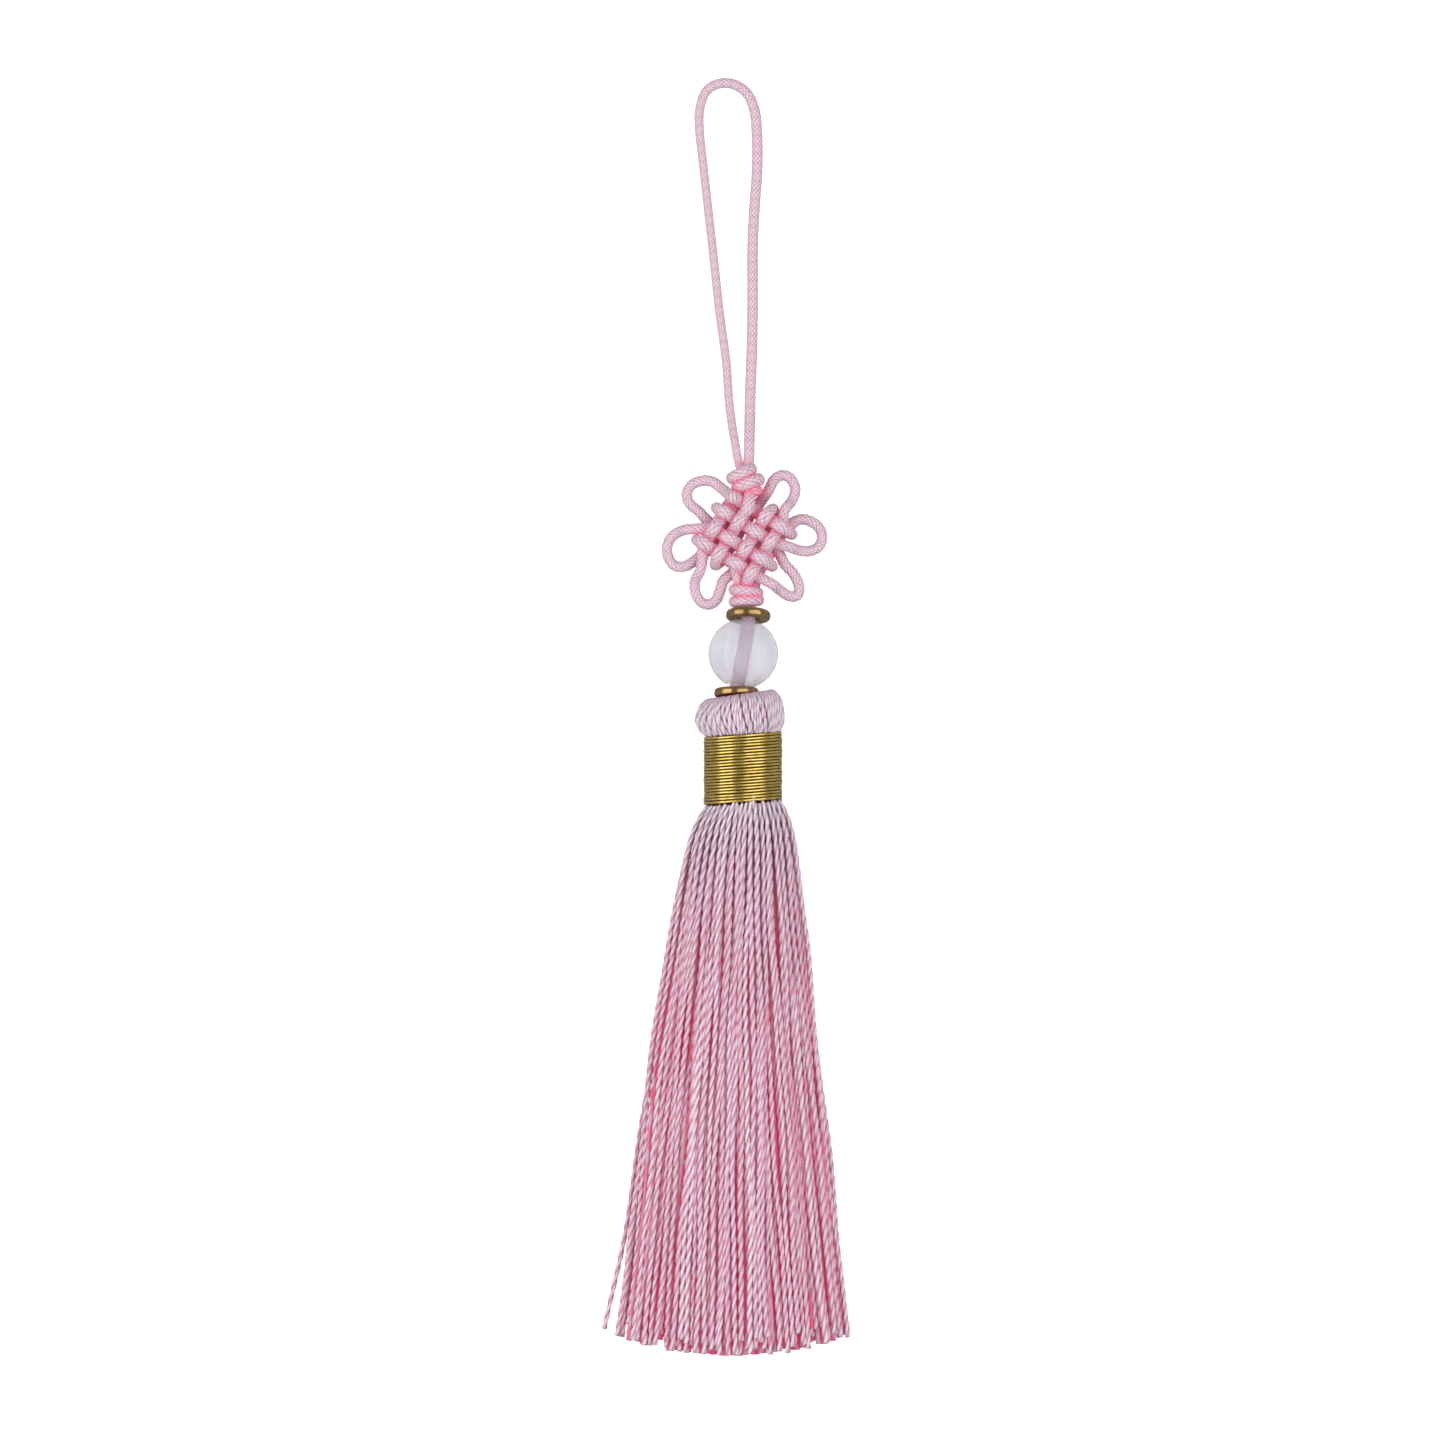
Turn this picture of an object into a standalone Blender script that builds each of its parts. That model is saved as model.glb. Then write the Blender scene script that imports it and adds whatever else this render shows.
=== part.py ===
"""Bookmark tassel of silk cord and thread, laid on its back on a flat surface.

A doubled cord makes a hanging loop, a button knot, an endless knot with six ears and a
second button knot. It then runs through a small metal ring, a glass bead and another
ring into the head of a thread tassel, which is bound with gold thread.

Metres, +Z up. The tassel hangs towards -Y, its loop lies towards +Y, and the origin is
on the surface under the middle of the thread head.
"""
import math
import random

import bmesh
import bpy
from mathutils import Matrix, Vector

MM = 0.001
COLLECTION_NAME = "bookmark_tassel"
CUTTER_COLLECTION_NAME = "cutters"

# Meshes: metres within which points are one, and the parts of a smooth curve's span
WELD = 1e-7
SPAN_PARTS = 24

# Cord
CORD_D = 1.05 * MM
PIECE_GAP = 0.3 * MM

# Hanging loop: its middle line from the left side of the button knot, over the top and
# back to the right side. It comes down off the knot within the first points.
# Columns: x_mm, y_mm, z_mm.
LOOP_POINT_STEP = 1.9 * MM
LOOP_ROUTE = (
    (-0.14, 25.80, 2.25),
    (-0.40, 27.30, 1.95),
    (-0.78, 29.60, 1.05),
    (-1.08, 32.10, 0.58),
    (-1.36, 36.00, 0.54),
    (-2.02, 40.90, 0.54),
    (-2.63, 46.50, 0.54),
    (-3.14, 51.00, 0.54),
    (-3.57, 54.90, 0.54),
    (-3.99, 58.60, 0.54),
    (-4.08, 61.00, 0.54),
    (-3.62, 62.85, 0.54),
    (-2.75, 63.80, 0.54),
    (-1.40, 64.12, 0.54),
    (-0.10, 63.78, 0.54),
    (0.92, 62.85, 0.54),
    (1.56, 61.20, 0.54),
    (1.78, 58.90, 0.54),
    (1.80, 55.40, 0.54),
    (1.54, 51.60, 0.54),
    (1.34, 47.40, 0.54),
    (1.34, 41.90, 0.54),
    (1.26, 37.00, 0.54),
    (1.11, 32.80, 0.58),
    (1.06, 29.90, 1.05),
    (1.00, 27.40, 1.95),
    (0.95, 25.80, 2.25),
)

# Endless knot: four rows fall to the right and four columns rise to the right, each laid
# twice, on the front face and on the back. The outer lines are drawn in by their turns.
KNOT_CENTRE = (0.28 * MM, 18.18 * MM)
KNOT_TURN_DEG = -31.7
LINE_PLACE = (-2.78 * MM, -1.01 * MM, 1.01 * MM, 2.78 * MM)
KNOT_LOWEST_Z = 0.60 * MM
WEAVE_GAP = 0.10 * MM
TURN_REACH = 1.18 * MM
TURN_SHARES = (0.2, 0.5, 0.8)
TURN_ROUNDNESS = 0.6
FRONT_TOP_LINE = (
    ("row", "column", "row", "column"),
    ("column", "row", "column", "row"),
    ("row", "column", "row", "column"),
    ("row", "column", "column", "row"),
)
KNOT_POINT_STEP = 0.50 * MM
CORE_SIDE = 6.4 * MM
CORE_THICKNESS = 1.6 * MM
CORE_Z = 2.25 * MM
SKIN_VOXEL = 0.15 * MM
SKIN_RATIO = 0.045

# Ears: the free middle line of each, from the line that it leaves to the line it joins.
# Columns: x_mm, y_mm.
EAR_MID_Z = 1.75 * MM
EAR_ROUNDNESS = 0.5
EARS = {
    "upper_right": ((2.15, 21.65), (2.95, 22.75), (3.50, 23.80), (4.30, 24.28), (5.10, 24.02),
                    (5.60, 23.20), (5.60, 22.35), (5.20, 21.50), (4.60, 20.75)),
    "right": ((5.95, 19.75), (7.15, 19.65), (8.10, 18.90), (8.38, 17.90), (7.95, 16.98),
              (7.00, 16.58), (5.90, 16.70), (4.85, 17.05)),
    "lower_right": ((4.55, 15.35), (5.40, 14.40), (5.92, 13.45), (6.05, 12.60), (5.75, 12.02),
                    (4.95, 12.08), (4.00, 12.70), (3.20, 13.30)),
    "upper_left": ((-0.70, 21.95), (-1.70, 22.85), (-2.75, 23.62), (-3.85, 23.72), (-4.90, 23.25),
                   (-5.35, 22.25), (-4.95, 21.30), (-4.00, 20.50)),
    "left": ((-5.00, 18.80), (-6.05, 18.58), (-6.95, 17.92), (-7.35, 16.85), (-7.12, 15.78),
             (-6.50, 15.08), (-5.55, 15.05), (-4.60, 15.60)),
    "lower_left": ((-3.90, 14.85), (-4.48, 13.60), (-4.48, 12.50), (-4.00, 11.55), (-3.15, 11.18),
                   (-2.35, 11.65), (-1.90, 12.80), (-1.50, 13.75)),
}

# Button knots: ridged barrels of two turns of cord, between which the cord's two halves
# run side by side
BUTTON_STEPS = 20
UPPER_BUTTON = {"middle_mm": (0.56, 23.92, 2.22), "radius": 1.95 * MM, "turn_height": 1.25 * MM,
                "slope_deg": 20.0}
LOWER_BUTTON = {"middle_mm": (0.70, 11.95, 2.22), "radius": 1.83 * MM, "turn_height": 1.06 * MM,
                "slope_deg": 6.0}
BUTTON_TURNS = 2
BUTTON_TURN_POINTS = 6
BUTTON_CREASE = 0.22
BUTTON_END_SHARE = 0.55
HALF_SPACING = 0.55 * MM

# Doubled cord from the lower button knot, through the rings and the bead, into the head.
# Columns: x_mm, y_mm, z_mm.
STEM_D = 1.5 * MM
STEM_POINT_STEP = 1.1 * MM
STEM_FRAME_STEP = 0.2 * MM
STEM_ROUTE = (
    (0.72, 12.00, 2.22),
    (0.90, 10.40, 2.55),
    (0.72, 8.00, 3.10),
    (0.38, 6.20, 3.47),
    (0.02, 4.20, 3.80),
    (-0.32, 2.15, 4.05),
    (-0.36, 0.95, 4.15),
)

# Metal rings and glass bead, on the doubled cord at these places along Y
BORE_R = 1.1 * MM
RING_R = 2.26 * MM
RING_HEIGHT = 1.0 * MM
RING_STEPS = 24
RING_CORNERS = 10
RING_SQUARENESS = 0.75
UPPER_RING_Y = 10.05 * MM
LOWER_RING_Y = 2.00 * MM
LOWER_RING_LEAN_DEG = 5.0
BEAD_R = 3.54 * MM
BEAD_Y = 6.20 * MM
BEAD_STEPS = 24
BEAD_ARC_POINTS = 12

# Tassel: the thread head, which leans left of its neck, and the neck in the binding
TASSEL_AXIS_Z = 4.15 * MM
SKEW_DEG = 3.5
HEAD_THREADS = 32
THREAD_RELIEF = 0.10 * MM
RIDGED_FROM_R = 3.4 * MM
RIDGED_FROM_HEIGHT = 3.2 * MM
LEAN_HEIGHT = 1.9 * MM
NECK_X = 0.34 * MM
NECK_R = 3.3 * MM
BINDING_TOP_Y = -1.92 * MM
BINDING_LENGTH = 7.08 * MM
BINDING_R = 4.0 * MM
BINDING_TURNS = 22
BINDING_STEPS = 24
BINDING_THREAD_RELIEF = 0.09 * MM
# Columns: radius_mm, and height over the binding's top edge in mm
HEAD_PROFILE = (
    (0.00, 1.90),
    (1.55, 1.95),
    (1.80, 2.40),
    (2.80, 2.95),
    (3.12, 3.95),
    (3.50, 4.10),
    (4.00, 3.45),
    (4.28, 2.60),
    (4.36, 1.90),
    (4.22, 1.00),
    (3.85, 0.35),
    (3.30, 0.25),
    (3.30, -6.40),
    (0.00, -6.40),
)

# Skirt: strands stand in a lattice in the neck and spread into a flat fan on the surface,
# where each level is shifted by half a strand from the one under it
LATTICE = 14
LEVEL_SHIFT = 0.5
STRAND_ROOT_W = 0.34 * MM
STRAND_W = 0.50 * MM
STRAND_WIDENS_BY = 0.25
LEVEL_RISE = 0.56 * MM
ROOT_R = 3.2 * MM
ROOT_DEPTH = 0.35 * MM
ROOT_BLOCK = 0.7 * MM
SKIRT_LENGTH = 55.8 * MM
EDGE_SHORTER = 1.9 * MM
SKIRT_X = 0.40 * MM
SKIRT_DRIFT = -1.0 * MM
DRIFT_LENGTH = 16.0 * MM
SKIRT_NECK_W = 3.62 * MM
SKIRT_SWELL = 1.20 * MM
SWELL_LENGTH = 2.6 * MM
SKIRT_SPREAD = 0.127
FLATTEN_LENGTH = 34.0 * MM
SKIRT_STATIONS = (0.006, 0.045, 0.17, 0.48, 1.00)
SKEW_FADE = 6.0 * MM
TIP_RAGGED = 0.7 * MM
STRAND_WANDER = 0.12 * MM
STRAY_REACH = 1.35 * MM
STRAND_SEED = 11

# Floor cutter, which gives the round pieces their small flat spots
FLOOR_SIZE = 0.2
FLOOR_DEPTH = 0.01

COLOURS = {
    "pink_cord": ((0.66, 0.30, 0.42), 0.75, 0.0),
    "antique_gold": ((0.42, 0.28, 0.10), 0.35, 1.0),
    "milky_glass": ((0.78, 0.78, 0.86), 0.12, 0.0),
    "lilac_thread": ((0.78, 0.60, 0.70), 0.70, 0.0),
    "gold_thread": ((0.70, 0.50, 0.12), 0.40, 0.8),
}


def clear_scene():
    for item in list(bpy.data.objects):
        bpy.data.objects.remove(item, do_unlink=True)


def new_collection(name):
    found = bpy.data.collections.new(name)
    bpy.context.scene.collection.children.link(found)
    return found


def make_material(name):
    colour, roughness, metallic = COLOURS[name]
    made = bpy.data.materials.new(name)
    made.use_nodes = True
    shader = made.node_tree.nodes["Principled BSDF"]
    shader.inputs["Base Color"].default_value = (*colour, 1.0)
    shader.inputs["Roughness"].default_value = roughness
    shader.inputs["Metallic"].default_value = metallic
    return made


def in_metres(row):
    return Vector([value * MM for value in row])


def smooth_route(points, step):
    """Points about one step apart on a smooth curve through the given points."""
    padded = [2 * points[0] - points[1], *points, 2 * points[-1] - points[-2]]
    fine = []
    for before, start, end, after in zip(padded, padded[1:], padded[2:], padded[3:]):
        for part in range(SPAN_PARTS):
            t = part / SPAN_PARTS
            fine.append(0.5 * (2 * start + (end - before) * t
                               + (2 * before - 5 * start + 4 * end - after) * t * t
                               + (3 * start - before - 3 * end + after) * t ** 3))
    fine.append(points[-1])
    lengths = [0.0]
    for start, end in zip(fine, fine[1:]):
        lengths.append(lengths[-1] + (end - start).length)
    count = max(2, round(lengths[-1] / step))
    spaced = []
    at = 0
    for index in range(count + 1):
        wanted = lengths[-1] * index / count
        while at < len(lengths) - 2 and lengths[at + 1] < wanted:
            at += 1
        share = (wanted - lengths[at]) / (lengths[at + 1] - lengths[at])
        spaced.append(fine[at].lerp(fine[at + 1], share))
    return spaced


def tube(name, points, diameter, collection, resolution=2):
    curve = bpy.data.curves.new(name, "CURVE")
    curve.dimensions = "3D"
    curve.bevel_depth = diameter / 2
    curve.bevel_resolution = resolution
    curve.use_fill_caps = True
    curve.render_resolution_u = 0
    spline = curve.splines.new("POLY")
    spline.points.add(len(points) - 1)
    for target, place in zip(spline.points, points):
        target.co = (*place, 1.0)
    made = bpy.data.objects.new(name, curve)
    collection.objects.link(made)
    return made


def mesh_from(source, name, collection):
    """The evaluated shape of a curve or modified object, as a welded mesh object."""
    bpy.context.view_layer.update()
    evaluated = source.evaluated_get(bpy.context.evaluated_depsgraph_get())
    mesh = bpy.data.meshes.new_from_object(evaluated)
    shape = bmesh.new()
    shape.from_mesh(mesh)
    bmesh.ops.remove_doubles(shape, verts=shape.verts, dist=WELD)
    bmesh.ops.recalc_face_normals(shape, faces=shape.faces)
    shape.to_mesh(mesh)
    shape.free()
    place = source.matrix_world.copy()
    bpy.data.objects.remove(source, do_unlink=True)
    made = bpy.data.objects.new(name, mesh)
    made.matrix_world = place
    collection.objects.link(made)
    return made


def as_helper(item):
    item.hide_render = True
    item.display_type = "WIRE"
    return item


def turned(name, profile, steps, collection, closed_profile):
    """A profile of (radius, height) pairs turned about Z."""
    mesh = bpy.data.meshes.new(name)
    edges = [(index, index + 1) for index in range(len(profile) - 1)]
    if closed_profile:
        edges.append((len(profile) - 1, 0))
    mesh.from_pydata([(radius, 0.0, height) for radius, height in profile], edges, [])
    made = bpy.data.objects.new(name, mesh)
    collection.objects.link(made)
    screw = made.modifiers.new("turn", "SCREW")
    screw.angle = math.tau
    screw.steps = steps
    screw.render_steps = steps
    screw.use_merge_vertices = True
    screw.merge_threshold = WELD
    return mesh_from(made, name, collection)


def boolean(item, other, operation):
    cut = item.modifiers.new(operation.lower(), "BOOLEAN")
    cut.operation = operation
    cut.object = as_helper(other)


def paint(item, material):
    item.data.materials.clear()
    item.data.materials.append(material)


def smooth(item, angle_deg=40.0):
    item.data.shade_smooth()
    item.data.set_sharp_from_angle(angle=math.radians(angle_deg))


def knot_place(row, column):
    """The level place where a row and a column cross."""
    turn = math.radians(KNOT_TURN_DEG)
    along = LINE_PLACE[column]
    across = LINE_PLACE[row]
    return Vector((KNOT_CENTRE[0] + along * math.cos(turn) - across * math.sin(turn),
                   KNOT_CENTRE[1] + along * math.sin(turn) + across * math.cos(turn),
                   0.0))


def knot_height(kind, row, column, face):
    """One of four levels: two on the front face and two on the back."""
    rise = CORD_D + WEAVE_GAP
    on_top = FRONT_TOP_LINE[row][column] == kind
    if face == "front":
        level = 3 if on_top else 2
    else:
        level = 0 if on_top else 1
    return KNOT_LOWEST_Z + level * rise


def knot_line(kind, index, first_face):
    """A line of the knot: in on one face, round its turn, and out on the other face."""
    turns_high = index % 2 == 1 if kind == "row" else index % 2 == 0
    inward = list(range(4)) if turns_high else list(range(3, -1, -1))
    other_face = "back" if first_face == "front" else "front"

    def place(step, face):
        row, column = (index, step) if kind == "row" else (step, index)
        spot = knot_place(row, column)
        spot.z = knot_height(kind, row, column, face)
        return spot

    points = [place(step, first_face) for step in inward]
    last, before = points[-1], points[-2]
    outward = Vector((last.x - before.x, last.y - before.y, 0.0)).normalized()
    back = place(inward[-1], other_face)
    for share in TURN_SHARES:
        reach = TURN_REACH * math.sin(math.pi * share) ** TURN_ROUNDNESS
        points.append(last.lerp(back, share) + outward * reach)
    points += [place(step, other_face) for step in reversed(inward)]
    return points


def ear(name, start_z, end_z):
    """An ear's points, which come from one face's height to the other's by its middle."""
    flat = EARS[name]
    points = []
    for index, (x_mm, y_mm) in enumerate(flat):
        share = index / (len(flat) - 1)
        ends = start_z + (end_z - start_z) * share
        free = math.sin(math.pi * share) ** EAR_ROUNDNESS
        points.append(Vector((x_mm * MM, y_mm * MM, ends + (EAR_MID_Z - ends) * free)))
    return points


def half_knot(start, lines, ears, first_face, end):
    """The route of one half of the doubled cord, from button knot to button knot."""
    points = [start]
    for order, (kind, index) in enumerate(lines):
        line = knot_line(kind, index, first_face)
        if order:
            points += ear(ears[order - 1], points[-1].z, line[0].z)
        points += line
    return points + [end]


def build_loop(parts, material):
    route = [in_metres(row) for row in LOOP_ROUTE]
    loop = tube("hanging_loop", smooth_route(route, LOOP_POINT_STEP), CORD_D, parts)
    paint(loop, material)


def build_button(name, sizes, cutters):
    """A ridged barrel, whose turns rise to the right."""
    profile = []
    last = BUTTON_TURNS * BUTTON_TURN_POINTS
    for index in range(last + 1):
        share = index / BUTTON_TURN_POINTS
        round_turn = math.sqrt(max(0.0, 1 - (2 * (share % 1) - 1) ** 2))
        width = BUTTON_END_SHARE if index in (0, last) else 1 - BUTTON_CREASE * (1 - round_turn)
        profile.append((sizes["radius"] * width, (BUTTON_TURNS / 2 - share) * sizes["turn_height"]))
    profile = [(0.0, profile[0][1]), *profile, (0.0, profile[-1][1])]
    made = turned(name, profile, BUTTON_STEPS, cutters, False)
    made.data.transform(Matrix.Rotation(-math.pi / 2, 4, "X"))
    shear = math.tan(math.radians(sizes["slope_deg"]))
    for vertex in made.data.vertices:
        vertex.co.y += shear * vertex.co.x
    made.data.transform(Matrix.Translation(in_metres(sizes["middle_mm"])))
    return made


def build_core(cutters):
    """The middle of the endless knot, where its front and back lines press together."""
    bpy.ops.mesh.primitive_cube_add(size=1.0)
    core = bpy.context.object
    core.name = "knot_core"
    core.data.transform(Matrix.Diagonal((CORE_SIDE, CORE_SIDE, CORE_THICKNESS, 1.0)))
    core.data.transform(Matrix.Rotation(math.radians(KNOT_TURN_DEG), 4, "Z"))
    core.data.transform(Matrix.Translation((*KNOT_CENTRE, CORE_Z)))
    for holder in list(core.users_collection):
        holder.objects.unlink(core)
    cutters.objects.link(core)
    return core


def build_cord_knot(parts, cutters, material):
    """Both halves of the cord through the endless knot, its button knots and its tail.

    The cords press into each other all through the knot, so their shapes are joined and
    given one common skin.
    """
    top = in_metres(UPPER_BUTTON["middle_mm"])
    bottom = in_metres(LOWER_BUTTON["middle_mm"])
    side = Vector((HALF_SPACING, 0.0, 0.0))
    right_route = half_knot(top + side, (("column", 1), ("column", 3), ("row", 2), ("row", 0)),
                            ("upper_right", "right", "lower_right"), "front", bottom + side)
    left_route = half_knot(top - side, (("row", 3), ("row", 1), ("column", 0), ("column", 2)),
                           ("upper_left", "left", "lower_left"), "back", bottom - side)
    stem_route = [in_metres(row) for row in STEM_ROUTE]
    cords = (("right_half", right_route, CORD_D, KNOT_POINT_STEP),
             ("left_half", left_route, CORD_D, KNOT_POINT_STEP),
             ("tail", stem_route, STEM_D, STEM_POINT_STEP))
    shapes = [mesh_from(tube(name, smooth_route(route, step), diameter, cutters), name, cutters)
              for name, route, diameter, step in cords]
    shapes.append(build_button("upper_button", UPPER_BUTTON, cutters))
    shapes.append(build_button("lower_button", LOWER_BUTTON, cutters))
    shapes.append(build_core(cutters))
    joined = bmesh.new()
    for shape in shapes:
        joined.from_mesh(shape.data)
        bpy.data.objects.remove(shape, do_unlink=True)
    mesh = bpy.data.meshes.new("cord_knot")
    joined.to_mesh(mesh)
    joined.free()
    rough = bpy.data.objects.new("cord_knot", mesh)
    cutters.objects.link(rough)
    skin = rough.modifiers.new("skin", "REMESH")
    skin.mode = "VOXEL"
    skin.voxel_size = SKIN_VOXEL
    lighter = rough.modifiers.new("lighter", "DECIMATE")
    lighter.ratio = SKIN_RATIO
    knot = mesh_from(rough, "cord_knot", parts)
    paint(knot, material)
    smooth(knot)


def stem_frame(y):
    """The place and direction of the doubled cord where it passes this y."""
    points = smooth_route([in_metres(row) for row in STEM_ROUTE], STEM_FRAME_STEP)
    nearest = min(range(1, len(points) - 1), key=lambda index: abs(points[index].y - y))
    direction = (points[nearest + 1] - points[nearest - 1]).normalized()
    return points[nearest], direction


def set_on_stem(item, y, lean_deg=0.0):
    place, direction = stem_frame(y)
    turn = direction.to_track_quat("Z", "X").to_matrix().to_4x4()
    lean = Matrix.Rotation(math.radians(lean_deg), 4, "Z")
    item.data.transform(Matrix.Translation(place) @ lean @ turn)


def ring_profile():
    """A rounded square section between the bore and the rim."""
    middle = (RING_R + BORE_R) / 2
    half_width = (RING_R - BORE_R) / 2
    profile = []
    for index in range(RING_CORNERS):
        angle = -math.tau * index / RING_CORNERS
        cosine, sine = math.cos(angle), math.sin(angle)
        profile.append((middle + half_width * math.copysign(abs(cosine) ** RING_SQUARENESS, cosine),
                        RING_HEIGHT / 2 * math.copysign(abs(sine) ** RING_SQUARENESS, sine)))
    return profile


def build_ring(name, y, lean_deg, parts, material):
    ring = turned(name, ring_profile(), RING_STEPS, parts, True)
    set_on_stem(ring, y, lean_deg)
    paint(ring, material)
    smooth(ring)


def build_bead(parts, floor, material):
    bore_angle = math.asin(BORE_R / BEAD_R)
    profile = []
    for index in range(BEAD_ARC_POINTS):
        angle = bore_angle + (math.pi - 2 * bore_angle) * index / (BEAD_ARC_POINTS - 1)
        profile.append((BEAD_R * math.sin(angle), BEAD_R * math.cos(angle)))
    bead = turned("bead", profile, BEAD_STEPS, parts, True)
    set_on_stem(bead, BEAD_Y)
    boolean(bead, floor, "DIFFERENCE")
    paint(bead, material)
    smooth(bead)


def laid_back(item):
    """Turns a piece from its own +Z to +Y and lifts it to the tassel's middle height."""
    item.data.transform(Matrix.Rotation(-math.pi / 2, 4, "X"))
    skew = math.tan(math.radians(SKEW_DEG))
    for vertex in item.data.vertices:
        vertex.co.y += skew * vertex.co.x
    item.data.transform(Matrix.Translation((0.0, BINDING_TOP_Y, TASSEL_AXIS_Z)))


def build_binding(parts, material):
    """Gold thread wound round the neck: one ridge a turn."""
    pitch = BINDING_LENGTH / BINDING_TURNS
    profile = [(NECK_R + PIECE_GAP, 0.0)]
    for turn in range(BINDING_TURNS):
        profile.append((BINDING_R - BINDING_THREAD_RELIEF, -turn * pitch))
        profile.append((BINDING_R, -(turn + 0.5) * pitch))
    profile.append((BINDING_R - BINDING_THREAD_RELIEF, -BINDING_LENGTH))
    profile.append((NECK_R + PIECE_GAP, -BINDING_LENGTH))
    binding = turned("gold_binding", profile, BINDING_STEPS, parts, True)
    laid_back(binding)
    binding.data.transform(Matrix.Translation((NECK_X, 0.0, 0.0)))
    paint(binding, material)
    smooth(binding)


def build_head(parts):
    """The head, with one ridge a thread."""
    profile = [(radius * MM, height * MM) for radius, height in HEAD_PROFILE]
    head = turned("tassel", profile, 2 * HEAD_THREADS, parts, False)
    for vertex in head.data.vertices:
        radius = math.hypot(vertex.co.x, vertex.co.y)
        if radius > RIDGED_FROM_R or vertex.co.z > RIDGED_FROM_HEIGHT:
            thread = round(math.atan2(vertex.co.y, vertex.co.x) / math.tau * 2 * HEAD_THREADS)
            if thread % 2:
                vertex.co.x *= 1 - THREAD_RELIEF / radius
                vertex.co.y *= 1 - THREAD_RELIEF / radius
        share = min(max(vertex.co.z / LEAN_HEIGHT, 0.0), 1.0)
        vertex.co.x += NECK_X * (1 - share)
    laid_back(head)
    return head


def fan_half_width(along):
    return (SKIRT_NECK_W + SKIRT_SWELL * (1 - math.exp(-along / SWELL_LENGTH))
            + SKIRT_SPREAD * along)


def strand_place(column, row, along):
    """The middle of a strand at a distance below the binding, in metres.

    A strand goes from its round lattice place in the neck to its place in the fan, where
    each lattice column has opened into two and lies half as many levels deep.
    """
    last = LATTICE - 1
    flat = min(max(along / FLATTEN_LENGTH, 0.0), 1.0)
    flat = flat * flat * (3 - 2 * flat)
    half_width = fan_half_width(max(along, 0.0))
    round_x = (2 * column - last) / LATTICE
    fan_column = 2 * column + row % 2
    column_rows = lattice_rows(column)
    level = (row - column_rows[0]) // 2
    shift = LEVEL_SHIFT * (level % 2 - 0.5)
    fan_x = (fan_column - last - 0.5 + shift) / (last + 0.5)
    round_z = TASSEL_AXIS_Z + (2 * row - last) / LATTICE * SKIRT_NECK_W
    fan_z = STRAND_W / 2 + level * LEVEL_RISE
    across = half_width * (round_x + (fan_x - round_x) * flat)
    skew = math.tan(math.radians(SKEW_DEG)) * across * math.exp(-along / SKEW_FADE)
    drift = SKIRT_DRIFT * (1 - math.exp(-along / DRIFT_LENGTH))
    return Vector((SKIRT_X + drift + across,
                   BINDING_TOP_Y - BINDING_LENGTH - along + skew,
                   round_z + (fan_z - round_z) * flat))


def lattice_rows(column):
    """The lattice rows that lie inside the neck in this column."""
    last = LATTICE - 1
    across = (2 * column - last) / LATTICE
    return [row for row in range(LATTICE) if across ** 2 + ((2 * row - last) / LATTICE) ** 2 < 1.0]


def grow_strand(shape, face, column, row, chance):
    """Draws one strand out of its root face, station by station, down to its tip."""
    across = abs(2 * column - LATTICE + 1) / LATTICE
    length = SKIRT_LENGTH - EDGE_SHORTER * across ** 2 - TIP_RAGGED * chance.random()
    wander_x = STRAND_WANDER * chance.uniform(-1, 1)
    stray = STRAY_REACH if column == 0 and row == lattice_rows(0)[0] else 0.0
    lowest = row == lattice_rows(column)[0] or row == lattice_rows(column)[0] + 1
    for share in SKIRT_STATIONS:
        along = share * length
        middle = strand_place(column, row, along)
        middle.x += wander_x * share - stray * share ** 3
        if lowest:
            middle.z = max(middle.z, STRAND_W / 2)
        half = (STRAND_ROOT_W + (STRAND_W - STRAND_ROOT_W) * min(1.0, share / STRAND_WIDENS_BY)) / 2
        face = bmesh.ops.extrude_discrete_faces(shape, faces=[face])["faces"][0]
        centre = face.calc_center_median()
        for vertex in face.verts:
            side = 1 if vertex.co.x > centre.x else -1
            rise = 1 if vertex.co.z > centre.z else -1
            vertex.co = middle + Vector((side * half, 0.0, rise * half))


def build_skirt(cutters):
    """A block of lattice cells with one strand drawn out of each cell."""
    cell = 2 * ROOT_R / LATTICE
    shape = bmesh.new()
    bmesh.ops.create_grid(shape, x_segments=LATTICE, y_segments=LATTICE, size=ROOT_R)
    cells = {}
    spare = []
    for face in shape.faces:
        middle = face.calc_center_median()
        column = round((middle.x + ROOT_R) / cell - 0.5)
        row = round((middle.y + ROOT_R) / cell - 0.5)
        if row in lattice_rows(column):
            cells[face] = (column, row)
        else:
            spare.append(face)
    bmesh.ops.delete(shape, geom=spare, context="FACES")
    root_y = BINDING_TOP_Y - BINDING_LENGTH + ROOT_DEPTH
    stand = Matrix.Translation((NECK_X, root_y, TASSEL_AXIS_Z)) @ Matrix.Rotation(math.pi / 2, 4, "X")
    shape.transform(stand)
    for vertex in shape.verts:
        vertex.co.y += math.tan(math.radians(SKEW_DEG)) * (vertex.co.x - NECK_X)
    roots = sorted(cells, key=lambda face: cells[face])
    places = [cells[face] for face in roots]
    block = bmesh.ops.extrude_face_region(shape, geom=list(shape.faces), use_keep_orig=True)
    for item in block["geom"]:
        if isinstance(item, bmesh.types.BMVert):
            item.co.y += ROOT_BLOCK
    bmesh.ops.inset_individual(shape, faces=roots, thickness=(cell - STRAND_ROOT_W) / 2)
    chance = random.Random(STRAND_SEED)
    for face, (column, row) in zip(roots, places):
        grow_strand(shape, face, column, row, chance)
    bmesh.ops.recalc_face_normals(shape, faces=shape.faces)
    mesh = bpy.data.meshes.new("skirt")
    shape.to_mesh(mesh)
    shape.free()
    skirt = bpy.data.objects.new("skirt", mesh)
    cutters.objects.link(skirt)
    return skirt


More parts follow.
